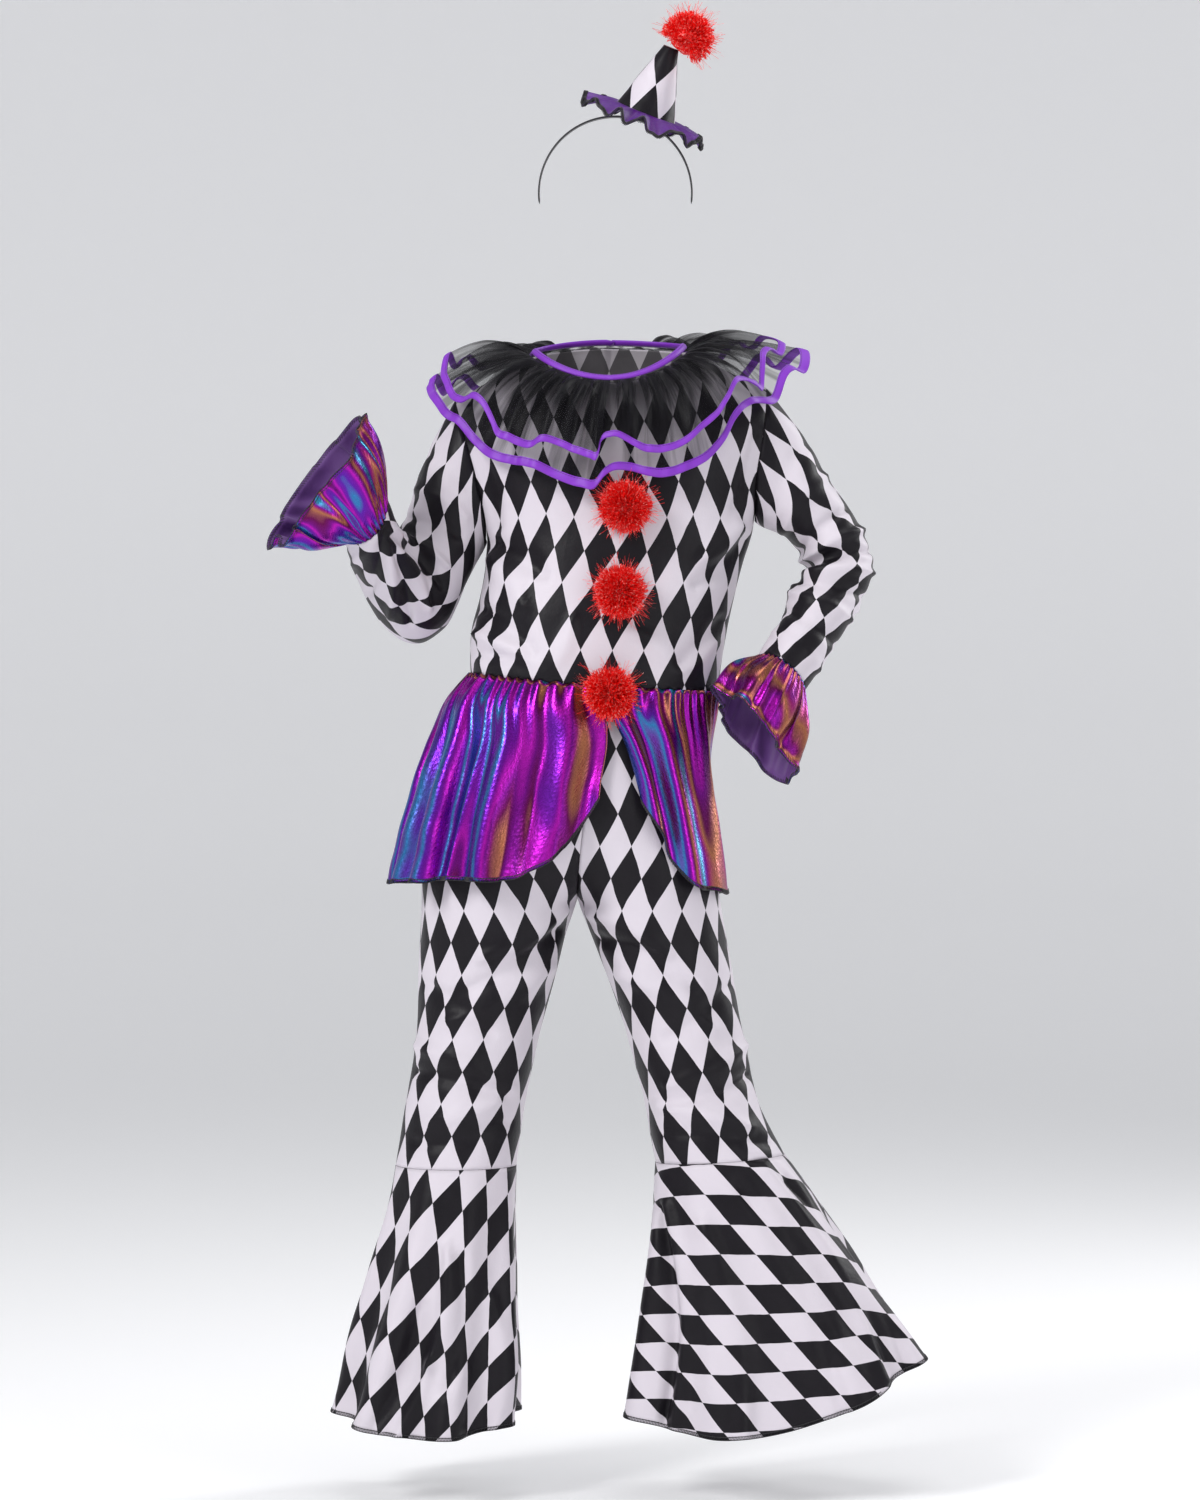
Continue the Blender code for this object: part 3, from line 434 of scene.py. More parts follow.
def cuff_grid(side, turn, down):
    """Outer points of a wrist flounce from its seam (0) to its rim (1)."""
    centre, along, across, _ = arm_rings(side, turn)
    path = unit(centre[-1] - centre[-2]) * SEAM_GAP
    rim = CUFF_RIMS[side]
    far = np.array(rim["across"], float)
    if np.dot(far, across[-1]) < 0:
        far = -far
    share = down[None, :, None]
    flare = np.sin(share * math.pi / 2) * 0.35 + share * 0.65
    middle = (centre[-1] + path) * (1 - share) + np.array(rim["centre"], float) * share
    one = along[-1] * (1 - flare) + np.array(rim["along"], float) * flare
    two = across[-1] * (1 - flare) + far * flare
    wave = fold_wave(turn / TAU, CUFF_FOLDS, side)[:, None, None]
    swell = 1 + (CUFF_FOLD / 48) * wave * share**0.8
    angle = turn[:, None, None]
    return middle + swell * (np.cos(angle) * one + np.sin(angle) * two)


def fold_wave(share, folds, seed):
    """Uneven folds round a gathered edge, between -1 and 1."""
    drift = 0.22 * np.sin(TAU * 2 * share + seed) + 0.13 * np.sin(TAU * 5 * share + 2 * seed)
    size = 0.82 + 0.18 * np.sin(TAU * 3 * share + 1.7 * seed)
    return size * np.sin(TAU * (folds * share + drift))


def neck_loop(turn):
    """The bodice's neck edge, with turns from centre front towards the wearer's left."""
    sine, cosine = np.sin(turn), np.cos(turn)
    share = NECK_SHARE * sine
    front = cosine > 0
    z = np.where(
        front,
        shoulder_height(share, face=-1),
        shoulder_height(share, face=1),
    )
    ahead = torso_ring(z, share, -1)
    behind = torso_ring(z, share, 1)
    return np.where(front[..., None], ahead, behind)


def neck_normal(points):
    """Outward directions at the neck edge, forward or back and up."""
    level = points.copy()
    level[..., 0] = points[..., 0] / 76
    level[..., 1] = points[..., 1] / 64
    level[..., 2] = 0
    out = unit(level) * 0.72
    out[..., 2] = 0.7
    return unit(out)


def ruff_grid(rows, turn, reach, lift, puff=0.0):
    """Outer points of a ruff; reach runs from the neck edge (0) to the ruff's edge (1)."""
    start = neck_loop(turn)
    start = start + neck_normal(start) * lift
    degrees = np.degrees(turn)
    end = stack(*(read_round(rows, degrees, axis) for axis in "xyz"))
    share = reach[None, :, None]
    line = start[:, None] * (1 - share) + end[:, None] * share
    level = (end - start)[:, None]
    side = np.stack([-np.cos(turn), -np.sin(turn), 0 * turn], axis=-1)[:, None]
    raised = unit(np.cross(level, side))
    raised = np.where(raised[..., 2:] < 0, -raised, raised)
    arch = RUFF_ARCH * 4 * share * (1 - share) * (1 - 0.35 * share)
    wave = RUFF_FOLD * fold_wave(turn / TAU, RUFF_FOLDS, 1.3)[:, None, None] * share**1.1
    return line + raised * (arch + wave + puff * np.minimum(2 * share, 1))


def peplum_grid(columns, downs):
    """Outer points of the peplum from one front edge round the back to the other."""
    share = np.linspace(0, 1, columns + 1)[:, None]
    edge = np.minimum(share, 1 - share) * 860
    short = PEPLUM_CORNER_LIFT * np.clip(1 - edge / PEPLUM_CORNER, 0, 1) ** 1.8
    down = downs[None, :] * (1 - short)
    starts = np.radians(read(PEPLUM, "down", down, "starts"))
    ends = TAU + np.radians(read(PEPLUM, "down", down, "ends"))
    turn = starts + share * (ends - starts)
    left, right = read(PEPLUM, "down", down, "left"), read(PEPLUM, "down", down, "right")
    front, back = read(PEPLUM, "down", down, "front"), read(PEPLUM, "down", down, "back")
    sine, cosine = np.sin(turn), np.cos(turn)
    round_off = 2 / BODY_ROUNDNESS
    x = (left + right) / 2 + np.sign(sine) * np.abs(sine) ** round_off * (right - left) / 2
    deep = np.where(cosine > 0, -front, back)
    y = deep * np.abs(cosine) ** round_off
    top = waist_height(x, y)
    hem = read_round(PEPLUM_HEM, np.degrees(turn), "z")
    z = top + (hem - top) * down
    grid = stack(x, y, z)
    out = flat(facing_out(grid, normals_of(grid, False), (-20, 0, -400)))
    wave = 0.5 + 0.5 * fold_wave(np.broadcast_to(share, down.shape), PEPLUM_FOLDS, 2.1)
    calm = 0.55 + 0.45 * np.clip(edge / 60, 0, 1)
    narrow = 1 - 0.4 * np.clip(np.sin(turn), 0, 1)
    grid = grid + out * (PEPLUM_FOLD * wave * calm * narrow * down**0.8)[..., None]
    return grid


def leg_point(side, face, share, z):
    """A point of a trouser leg; share runs from the middle or inner seam to the side seam."""
    leg = LEGS[side]
    fall = np.clip((CROTCH_CURVE_START - z) / (CROTCH_CURVE_START - CROTCH), 0, 1)
    blend = 1 - np.sqrt(1 - fall**2)
    slow = np.clip((CROTCH_CURVE_START - z) / (CROTCH_CURVE_START - HIP_EASE_END), 0, 1)
    away = np.clip(share / 0.45, 0, 1)
    blend = blend * (1 - away) + slow * slow * (3 - 2 * slow) * away
    edge = read(HIPS, "z", z, "left" if side == RIGHT else "right")
    seam = read(HIPS, "z", z, "seam")
    reach = read(HIPS, "z", z, "front" if face < 0 else "back")
    across = np.sin(share * math.pi / 2)
    hip = stack(seam + across * (edge - seam), face * reach * rounded(across, BODY_ROUNDNESS), z)
    outer, inner = read(leg, "z", z, "outer"), read(leg, "z", z, "inner")
    inner = np.where(z > CROTCH + 1, seam, inner)
    depth, middle = read(leg, "z", z, "depth"), read(leg, "z", z, "middle")
    x = (outer + inner) / 2 - np.cos(share * math.pi) * (outer - inner) / 2
    round_leg = stack(x, middle + face * depth * np.sin(share * math.pi), z)
    return hip * (1 - blend[..., None]) + round_leg * blend[..., None], blend


def waistband_edge(share, face):
    z = np.full(share.shape, -300.0)
    left, right = read(HIPS, "z", z, "left"), read(HIPS, "z", z, "right")
    x = (left + right) / 2 + share * (right - left) / 2
    reach = read(HIPS, "z", z, "front" if face < 0 else "back")
    return stack(x, face * reach * rounded(share, BODY_ROUNDNESS), z)


def flounce_grid(side, turn, down):
    """Outer points of a leg flounce; the turn starts at the inner seam, over the front."""
    rows = FLOUNCES[side]

    def column(name):
        return read(rows, "down", down, name)[None, :]

    cosine, sine = np.cos(turn)[:, None], np.sin(turn)[:, None]
    toward = (1 - cosine) / 2
    x = column("inner_x") * (1 - toward) + column("outer_x") * toward
    ahead = np.clip(sine, 0, 1)
    behind = np.clip(-sine, 0, 1)
    y = 4 - column("front") * ahead + column("back") * behind
    level = column("inner_z") * (1 - toward) + column("outer_z") * toward
    middle = (column("inner_z") + column("outer_z")) / 2
    z = level + (column("front_z") - middle) * ahead**2 + (column("back_z") - middle) * behind**2
    grid = stack(x, y, z)
    out = flat(facing_out(grid, normals_of(grid, True), (x.mean(), 0, -900)))
    wave = flounce_folds(side, turn, down)
    return grid + out * wave[..., None]


def flounce_folds(side, turn, down):
    """How far the folds of a flounce stand out from its troughs."""
    folds = FLOUNCE_FOLDS[side]
    total = np.zeros((len(turn), len(down)))
    degrees = np.degrees(turn)[:, None]
    for centre, reach, width, lean in zip(*(folds[key] for key in FOLD_COLUMNS.split())):
        place = centre + lean * down[None, :]
        apart = np.mod(degrees - place + 180, 360) - 180
        total += reach * np.exp(-((apart / width) ** 2)) * down[None, :] ** 0.9
    return total


def hat_axes():
    """The hat's own right, forward and up directions."""
    lean, nod = math.radians(HAT_LEAN), math.radians(HAT_NOD)
    up = unit(np.array([math.sin(lean), -math.sin(nod), math.cos(lean) * math.cos(nod)]))
    right = unit(np.cross(np.array([0, 1, 0.0]), up))
    return right, np.cross(up, right), up


def hat_foot():
    lean = math.radians(HAT_LEAN)
    reach = BAND_RADIUS + HAT_LIFT
    return np.array(HEAD) + reach * np.array([math.sin(lean), 0, math.cos(lean)])


def hat_ring(turn, radius, height):
    """Points round the hat's axis at a radius and a height above its base."""
    right, ahead, up = hat_axes()
    radius, height = np.asarray(radius)[..., None], np.asarray(height)[..., None]
    level = np.sin(turn)[..., None] * right - np.cos(turn)[..., None] * ahead
    return hat_foot() + radius * level + height * up


def cone_radius(height):
    return CONE_RADIUS * (1 - (height - BASE_THICK) / CONE_HEIGHT)


# Edge of each ruff round the neck as it falls in waves, by the turn from centre front
# towards the wearer's left.
UPPER_RUFF = table("turn x y z", (
    (1, -4, -111, -86), (5, 5, -113, -81), (12, 19, -113, -84), (19, 33, -112, -92),
    (26, 47, -110, -95), (34, 63, -106, -92), (39, 76, -104, -85), (46, 90, -99, -72),
    (53, 104, -92, -60), (59, 114, -83, -45), (65, 124, -71, -28), (70, 134, -58, -24),
    (76, 144, -45, -28), (80, 151, -34, -29), (83, 153, -26, -12), (86, 155, -18, 4),
    (92, 164, 0, 10), (97, 172, 12, 4), (102, 176, 24, 16), (110, 158, 40, 26),
    (118, 146, 58, 14), (128, 130, 72, 24), (138, 112, 84, 6), (150, 80, 96, 16),
    (162, 48, 106, -2), (174, 14, 110, 8), (186, -22, 112, -8), (198, -50, 106, 6),
    (210, -74, 100, -8), (222, -98, 84, 8), (234, -120, 68, -6), (246, -138, 50, 8),
    (256, -148, 30, -6), (266, -155, 8, 4), (275, -158, -15, -14), (282, -152, -35, -29),
    (289, -144, -53, -43), (293, -137, -62, -46), (299, -125, -73, -42), (304, -115, -82, -50),
    (308, -107, -89, -65), (313, -100, -93, -79), (319, -88, -98, -85), (328, -71, -101, -89),
    (335, -57, -104, -86), (342, -43, -107, -88), (349, -28, -110, -95), (355, -14, -112, -101),
    (358, -8, -115, -103),
))
LOWER_RUFF = table("turn x y z", (
    (1, -3, -109, -118), (5, 5, -110, -111), (12, 23, -110, -109), (20, 42, -110, -114),
    (29, 61, -107, -115), (37, 80, -100, -108), (46, 100, -91, -96), (53, 114, -81, -79),
    (59, 124, -72, -59), (64, 134, -61, -47), (71, 149, -46, -40), (77, 163, -33, -39),
    (81, 170, -23, -31), (84, 176, -15, -12), (88, 184, -6, -4), (93, 196, 8, -6),
    (98, 200, 20, 10), (105, 190, 34, 14), (113, 174, 56, 2), (122, 156, 72, 12),
    (132, 134, 86, -10), (142, 110, 98, 4), (154, 76, 110, -18), (166, 42, 118, -8),
    (178, 6, 122, -26), (190, -30, 120, -12), (202, -62, 112, -28), (214, -92, 102, -10),
    (226, -122, 86, -24), (238, -144, 66, -8), (250, -160, 42, -24), (260, -168, 18, -14),
    (268, -173, 2, -22), (275, -171, -16, -30), (281, -164, -30, -41), (289, -154, -47, -55),
    (296, -141, -59, -63), (302, -129, -68, -78), (310, -114, -78, -93), (318, -100, -87, -100),
    (328, -81, -97, -103), (337, -62, -103, -110), (345, -43, -106, -118),
    (353, -24, -108, -125), (358, -10, -110, -127),
))
RUFF_FOLD = 2.2

# Distance from the neck within which a ruff is denser.
RUFF_SHEER = 0.055
DIAMOND_WIDTH = 30.0
DIAMOND_HEIGHT = 62.0
SHELL = 0.8
# How much deeper than the solid's the folds of the leg flounces are.
FOLD_MORE = 0.45
# How much the creases below stand out, as a share of their listed rise.
CREASE_MORE = 1.6
# Radius of a pom-pom's packed middle, as a share of its reach.
CORE = 0.6
# Column of each trouser panel where the print stands upright.
LEG_GRAIN = 33
CUFF_WAVE = 5.0
CUFF_BELLY = 8.0
CUFF_ROLL = 3.4
# How far the print is turned on each leg flounce, in degrees.
FLOUNCE_TURN = {(RIGHT, "front"): -14.0, (RIGHT, "back"): 10.0, (LEFT, "front"): 58.0, (LEFT, "back"): -40.0}
OUT_OF_SOLID = 0.25
# How far a sleeve's seam edge reaches in under the bodice.
ARMHOLE_TUCK = 1.2

# Creases seen from the front or back: a line in X and Z, its half width, how far it stands
# out (or sinks, below zero), and the side it is on.
CREASE_COLUMNS = "x1 z1 x2 z2 width rise face"
BODICE_CREASES = table(CREASE_COLUMNS, (
    (-122, -262, -60, -300, 7, 3.2, -1),
    (-126, -282, -40, -309, 6, -2.8, -1),
    (-118, -238, -70, -282, 9, -2.6, -1),
    (-112, -190, -78, -236, 10, 2.4, -1),
    (-105, -176, -60, -205, 9, -2.2, -1),
    (104, -270, 60, -306, 8, 2.6, -1),
    (112, -250, 70, -292, 8, -2.4, -1),
    (128, -160, 92, -190, 9, 2.6, -1),
    (136, -172, 88, -214, 8, -2.4, -1),
    (-128, -80, -104, -160, 8, -2.6, -1),
    (146, -70, 126, -140, 9, -2.6, -1),
    (30, -262, 70, -300, 9, 1.8, -1),
    (-30, -250, -52, -300, 8, 1.8, -1),
    (-110, -180, -40, -230, 10, 2.8, 1),
    (-105, -210, -30, -262, 9, -2.8, 1),
    (128, -165, 60, -220, 10, 2.8, 1),
    (118, -205, 40, -255, 9, -2.8, 1),
    (-90, -270, 20, -296, 8, 2.6, 1),
    (90, -268, 0, -300, 8, -2.4, 1),
    (-128, -80, -96, -150, 9, -2.8, 1),
    (146, -70, 112, -140, 9, -2.8, 1),
))
SLEEVE_CREASES = {
    RIGHT: table(CREASE_COLUMNS, (
        (-199, -166, -152, -196, 5, 4.2, -1),
        (-199, -172, -158, -216, 5, -4.2, -1),
        (-201, -178, -170, -236, 5, 4.4, -1),
        (-203, -176, -188, -250, 5, -4.2, -1),
        (-206, -172, -206, -244, 5, 3.8, -1),
        (-208, -166, -226, -222, 5, -3.6, -1),
        (-212, -156, -240, -196, 5, 2.6, -1),
        (-216, -146, -246, -180, 4, -2.2, -1),
        (-190, -150, -140, -168, 6, -3.2, -1),
        (-180, -122, -134, -150, 7, 2.8, -1),
        (-168, -88, -132, -120, 8, -2.6, -1),
        (-196, -170, -150, -210, 6, -4.0, 1),
        (-200, -176, -176, -246, 6, 4.2, 1),
        (-206, -172, -214, -236, 6, -3.8, 1),
        (-186, -140, -136, -176, 7, 3.0, 1),
        (-170, -96, -132, -130, 8, -2.8, 1),
    )),
    LEFT: table(CREASE_COLUMNS, (
        (188, -182, 232, -142, 5, -3.6, -1),
        (192, -190, 252, -160, 5, 4.4, -1),
        (194, -196, 262, -180, 5, -4.4, -1),
        (193, -203, 262, -202, 5, 4.2, -1),
        (188, -211, 252, -226, 5, -4.0, -1),
        (180, -222, 240, -250, 5, 3.2, -1),
        (174, -240, 222, -272, 6, -2.8, -1),
        (164, -262, 206, -298, 6, 2.4, -1),
        (172, -160, 214, -108, 7, 2.8, -1),
        (158, -140, 192, -80, 8, -2.8, -1),
        (190, -190, 250, -158, 6, 4.0, 1),
        (194, -200, 260, -196, 6, -4.2, 1),
        (184, -216, 246, -238, 6, 3.8, 1),
        (168, -154, 212, -108, 8, -3.0, 1),
        (168, -250, 214, -282, 7, -2.6, 1),
    )),
}
LEG_CREASES = {
    RIGHT: table(CREASE_COLUMNS, (
        (-40, -528, -120, -572, 8, 3.2, -1),
        (-44, -548, -140, -606, 8, -3.0, -1),
        (-54, -584, -150, -634, 9, 2.6, -1),
        (-172, -600, -110, -646, 8, -2.4, -1),
        (-180, -660, -110, -690, 8, 2.6, -1),
        (-182, -684, -96, -706, 7, -2.8, -1),
        (-90, -700, -170, -730, 8, 2.6, -1),
        (-94, -732, -184, -752, 7, -2.2, -1),
        (-40, -530, -140, -590, 9, 3.4, 1),
        (-50, -560, -150, -630, 9, -3.2, 1),
        (-80, -668, -170, -690, 7, 3.2, 1),
        (-84, -690, -174, -706, 7, -3.0, 1),
        (-90, -720, -180, -732, 8, 2.6, 1),
    )),
    LEFT: table(CREASE_COLUMNS, (
        (-12, -530, 60, -566, 8, 3.2, -1),
        (-4, -556, 84, -600, 8, -3.0, -1),
        (16, -590, 104, -640, 9, 2.6, -1),
        (120, -600, 60, -650, 8, -2.4, -1),
        (134, -660, 60, -694, 8, 2.6, -1),
        (138, -688, 60, -712, 7, -2.8, -1),
        (52, -716, 140, -738, 8, 2.6, -1),
        (62, -742, 156, -752, 7, -2.2, -1),
        (-10, -532, 80, -590, 9, 3.4, 1),
        (0, -566, 96, -632, 9, -3.2, 1),
        (40, -672, 126, -694, 7, 3.2, 1),
        (46, -694, 132, -710, 7, -3.0, 1),
        (60, -722, 148, -736, 8, 2.6, 1),
    )),
}


FLOUNCE_CREASES = {
    RIGHT: table(CREASE_COLUMNS, (
        (-150, -850, -166, -960, 8, 4.5, -1),
        (-166, -960, -200, -1030, 9, 5.5, -1),
        (-138, -860, -150, -980, 8, -3.6, -1),
        (-176, -905, -222, -1020, 9, -3.8, -1),
        (-110, -900, -108, -1030, 9, 3.4, -1),
        (-130, -860, -176, -1020, 11, 4.6, 1),
        (-170, -850, -214, -1010, 10, -4.0, 1),
        (-104, -870, -112, -1020, 10, -3.6, 1),
    )),
    LEFT: table(CREASE_COLUMNS, (
        (52, -815, 56, -1014, 6, -5.5, -1),
        (60, -810, 68, -1020, 8, 3.6, -1),
        (150, -775, 262, -980, 9, 5.2, -1),
        (130, -790, 226, -1000, 10, -3.6, -1),
        (176, -790, 290, -965, 8, -3.4, -1),
        (96, -830, 132, -1024, 12, 3.2, -1),
        (140, -780, 240, -985, 10, 4.6, 1),
        (100, -800, 150, -1010, 12, -3.8, 1),
        (62, -820, 70, -1010, 10, 4.2, 1),
    )),
}


def arc_lengths(grid, axis):
    """Length along the grid's lines from their start, in one direction."""
    steps = np.linalg.norm(np.diff(grid, axis=axis), axis=-1)
    start = np.zeros_like(np.take(steps, [0], axis=axis))
    return np.concatenate([start, np.cumsum(steps, axis=axis)], axis=axis)


def creased(grid, normals, rows, fade=1.0):
    """Moves points in and out along listed creases."""
    x, z = grid[..., 0], grid[..., 2]
    total = np.zeros(x.shape)
    for x1, z1, x2, z2, width, rise, face in zip(*(rows[k] for k in CREASE_COLUMNS.split())):
        dx, dz = x2 - x1, z2 - z1
        along = ((x - x1) * dx + (z - z1) * dz) / (dx * dx + dz * dz)
        nearest = np.clip(along, 0, 1)
        bow = 0.06 * math.hypot(dx, dz) * np.sin(nearest * math.pi)
        off_x = x - x1 - nearest * dx + bow * dz / math.hypot(dx, dz)
        off_z = z - z1 - nearest * dz - bow * dx / math.hypot(dx, dz)
        far = np.hypot(off_x, off_z)
        size = width * (0.6 + 0.6 * np.sin(np.clip(nearest, 0.05, 0.95) * math.pi))
        side = np.clip(0.5 + 2.2 * normals[..., 1] * face, 0, 1)
        total += CREASE_MORE * rise * np.exp(-((far / size) ** 2)) * side
    return total * fade


def waver(grid, size, height, seed=0.0):
    """Soft uneven rises and hollows, of about one size."""
    flat_points = grid.reshape(-1, 3) / size
    shift = Vector((seed, 2 * seed, 3 * seed))
    values = [noise.noise(Vector(p) + shift) for p in flat_points]
    return height * np.array(values).reshape(grid.shape[:2])


def add_shell(name, grid, closed, uv, looks, thickness=SHELL, inner=False):
    """A sheet of cloth as a grid of quads with its flat coordinates, given a thickness."""
    columns, rows = grid.shape[:2]
    steps = columns if closed else columns - 1
    i, j = np.meshgrid(np.arange(steps), np.arange(rows - 1), indexing="ij")
    i, j = i.ravel(), j.ravel()
    ahead = (i + 1) % columns
    faces = np.stack([i * rows + j, ahead * rows + j, ahead * rows + j + 1, i * rows + j + 1], 1)
    corners = grid.reshape(-1, 3)[faces]
    normal = np.cross(corners[:, 2] - corners[:, 0], corners[:, 3] - corners[:, 1])
    out = facing_out(grid, normals_of(grid, closed), grid.reshape(-1, 3).mean(0))
    places = np.stack([i, i + 1, i + 1, i], 1), np.stack([j, j, j + 1, j + 1], 1)
    if np.sum(normal * out.reshape(-1, 3)[faces[:, 0]]) < 0:
        faces = faces[:, ::-1]
        places = places[0][:, ::-1], places[1][:, ::-1]
    mesh = bpy.data.meshes.new(name)
    mesh.from_pydata((grid.reshape(-1, 3) * MM).tolist(), [], faces.tolist())
    layer = mesh.uv_layers.new(name="cloth")
    flat_uv = (uv[places[0], places[1]] * MM).reshape(-1, 2)
    layer.data.foreach_set("uv", flat_uv.astype(np.float32).ravel())
    mesh.shade_smooth()
    piece = bpy.data.objects.new(name, mesh)
    for look in looks:
        mesh.materials.append(look)
    bpy.context.scene.collection.objects.link(piece)
    if not thickness:
        return piece
    solid = piece.modifiers.new("thickness", "SOLIDIFY")
    solid.thickness = thickness * MM
    solid.offset = 1.0 if inner else -1.0
    solid.use_rim = True
    if len(looks) > 1:
        solid.material_offset = 1
    return piece


def settle(piece, node):
    """Gives a piece its place under the root and hides the solid part it stands in for."""
    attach(piece, "root")
    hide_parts(node)


# Node helpers


class Nodes:
    """A material's node tree, with short calls for the nodes used here."""

    def __init__(self, name):
        self.material = bpy.data.materials.new(name)
        self.material.use_nodes = True
        self.tree = self.material.node_tree
        self.shader = self.tree.nodes["Principled BSDF"]

    def add(self, kind, **values):
        made = self.tree.nodes.new(kind)
        for key, value in values.items():
            setattr(made, key, value)
        return made

    def link(self, start, end):
        self.tree.links.new(start, end)

    def put(self, node, **inputs):
        for key, value in inputs.items():
            socket = node.inputs[key.replace("_", " ")]
            if hasattr(value, "is_output"):
                self.link(value, socket)
            else:
                socket.default_value = value
        return node

    def math(self, operation, first, second=0.0):
        node = self.add("ShaderNodeMath", operation=operation)
        for socket, value in zip(node.inputs, (first, second)):
            if hasattr(value, "is_output"):
                self.link(value, socket)
            else:
                socket.default_value = value
        return node.outputs[0]

    def cloth(self):
        return self.add("ShaderNodeUVMap", uv_map="cloth").outputs[0]

    def stretched(self, across, along, source=None):
        """Cloth coordinates scaled by so many repeats a metre each way."""
        node = self.add("ShaderNodeMapping")
        self.link(source or self.cloth(), node.inputs["Vector"])
        node.inputs["Scale"].default_value = (across, along, 1.0)
        return node.outputs[0]

    def noise(self, vector, scale=1.0, detail=3.0, roughness=0.55):
        node = self.add("ShaderNodeTexNoise")
        self.put(node, Vector=vector, Scale=scale, Detail=detail, Roughness=roughness)
        return node.outputs["Fac"]

    def ramp(self, factor, stops, constant=False):
        node = self.add("ShaderNodeValToRGB")
        if constant:
            node.color_ramp.interpolation = "CONSTANT"
        self.link(factor, node.inputs[0])
        elements = node.color_ramp.elements
        while len(elements) < len(stops):
            elements.new(0.5)
        for element, (place, colour) in zip(elements, stops):
            element.position = place
            element.color = (*colour, 1.0)
        return node.outputs[0]

    def mix(self, factor, first, second):
        node = self.add("ShaderNodeMix", data_type="RGBA")
        for socket, value in zip((node.inputs[0], node.inputs[6], node.inputs[7]),
                                 (factor, first, second)):
            if hasattr(value, "is_output"):
                self.link(value, socket)
            else:
                socket.default_value = value if isinstance(value, float) else (*value, 1.0)
        return node.outputs[2]

    def bump(self, height, distance, strength=1.0, before=None):
        node = self.add("ShaderNodeBump")
        self.put(node, Height=height, Distance=distance, Strength=strength)
        if before is not None:
            self.link(before, node.inputs["Normal"])
        return node.outputs[0]


BLACK_PRINT = (0.007, 0.006, 0.008)
WHITE_PRINT = (0.68, 0.63, 0.69)


def diamond_knit(name, inside=False):
    """Satin knit printed with upright black and white diamonds."""
    n = Nodes(name)
    wobble = n.noise(n.stretched(40, 40), 1.0, 2.0)
    parts = n.add("ShaderNodeSeparateXYZ")
    n.link(n.cloth(), parts.inputs[0])
    drift = n.math("MULTIPLY", n.math("SUBTRACT", wobble, 0.5), 0.0016)
    u = n.math("DIVIDE", n.math("ADD", parts.outputs[0], drift), DIAMOND_WIDTH * MM)
    v = n.math("DIVIDE", n.math("ADD", parts.outputs[1], drift), DIAMOND_HEIGHT * MM)
    one = n.math("FLOOR", n.math("ADD", u, v))
    two = n.math("FLOOR", n.math("SUBTRACT", u, v))
    check = n.math("FLOORED_MODULO", n.math("ADD", one, two), 2.0)
    black, white = BLACK_PRINT, WHITE_PRINT
    if inside:
        black, white = (0.09, 0.085, 0.09), (0.62, 0.58, 0.62)
    soft = n.noise(n.stretched(25, 25), 1.0, 3.0)
    white_cloth = n.mix(soft, tuple(c * 0.93 for c in white), white)
    black_cloth = n.mix(soft, black, tuple(c * 1.9 for c in black))
    colour = n.mix(check, black_cloth, white_cloth)
    loops = n.noise(n.stretched(900, 420), 1.0, 2.0, 0.6)
    n.put(n.shader, Base_Color=colour)
    shade = n.ramp(n.noise(n.stretched(300, 90), 1.0, 3.0), ((0.3, (0.36,) * 3), (0.7, (0.46,) * 3)))
    n.link(shade, n.shader.inputs["Roughness"])
    n.shader.inputs["Specular IOR Level"].default_value = 0.15
    n.shader.inputs["Sheen Weight"].default_value = 0.01
    n.shader.inputs["Sheen Roughness"].default_value = 0.4
    fine = n.bump(loops, 0.00025, 0.5)
    rumple = n.bump(n.noise(n.stretched(70, 45), 1.0, 4.0), 0.0012, 0.45, fine)
    n.link(rumple, n.shader.inputs["Normal"])
    return n.material


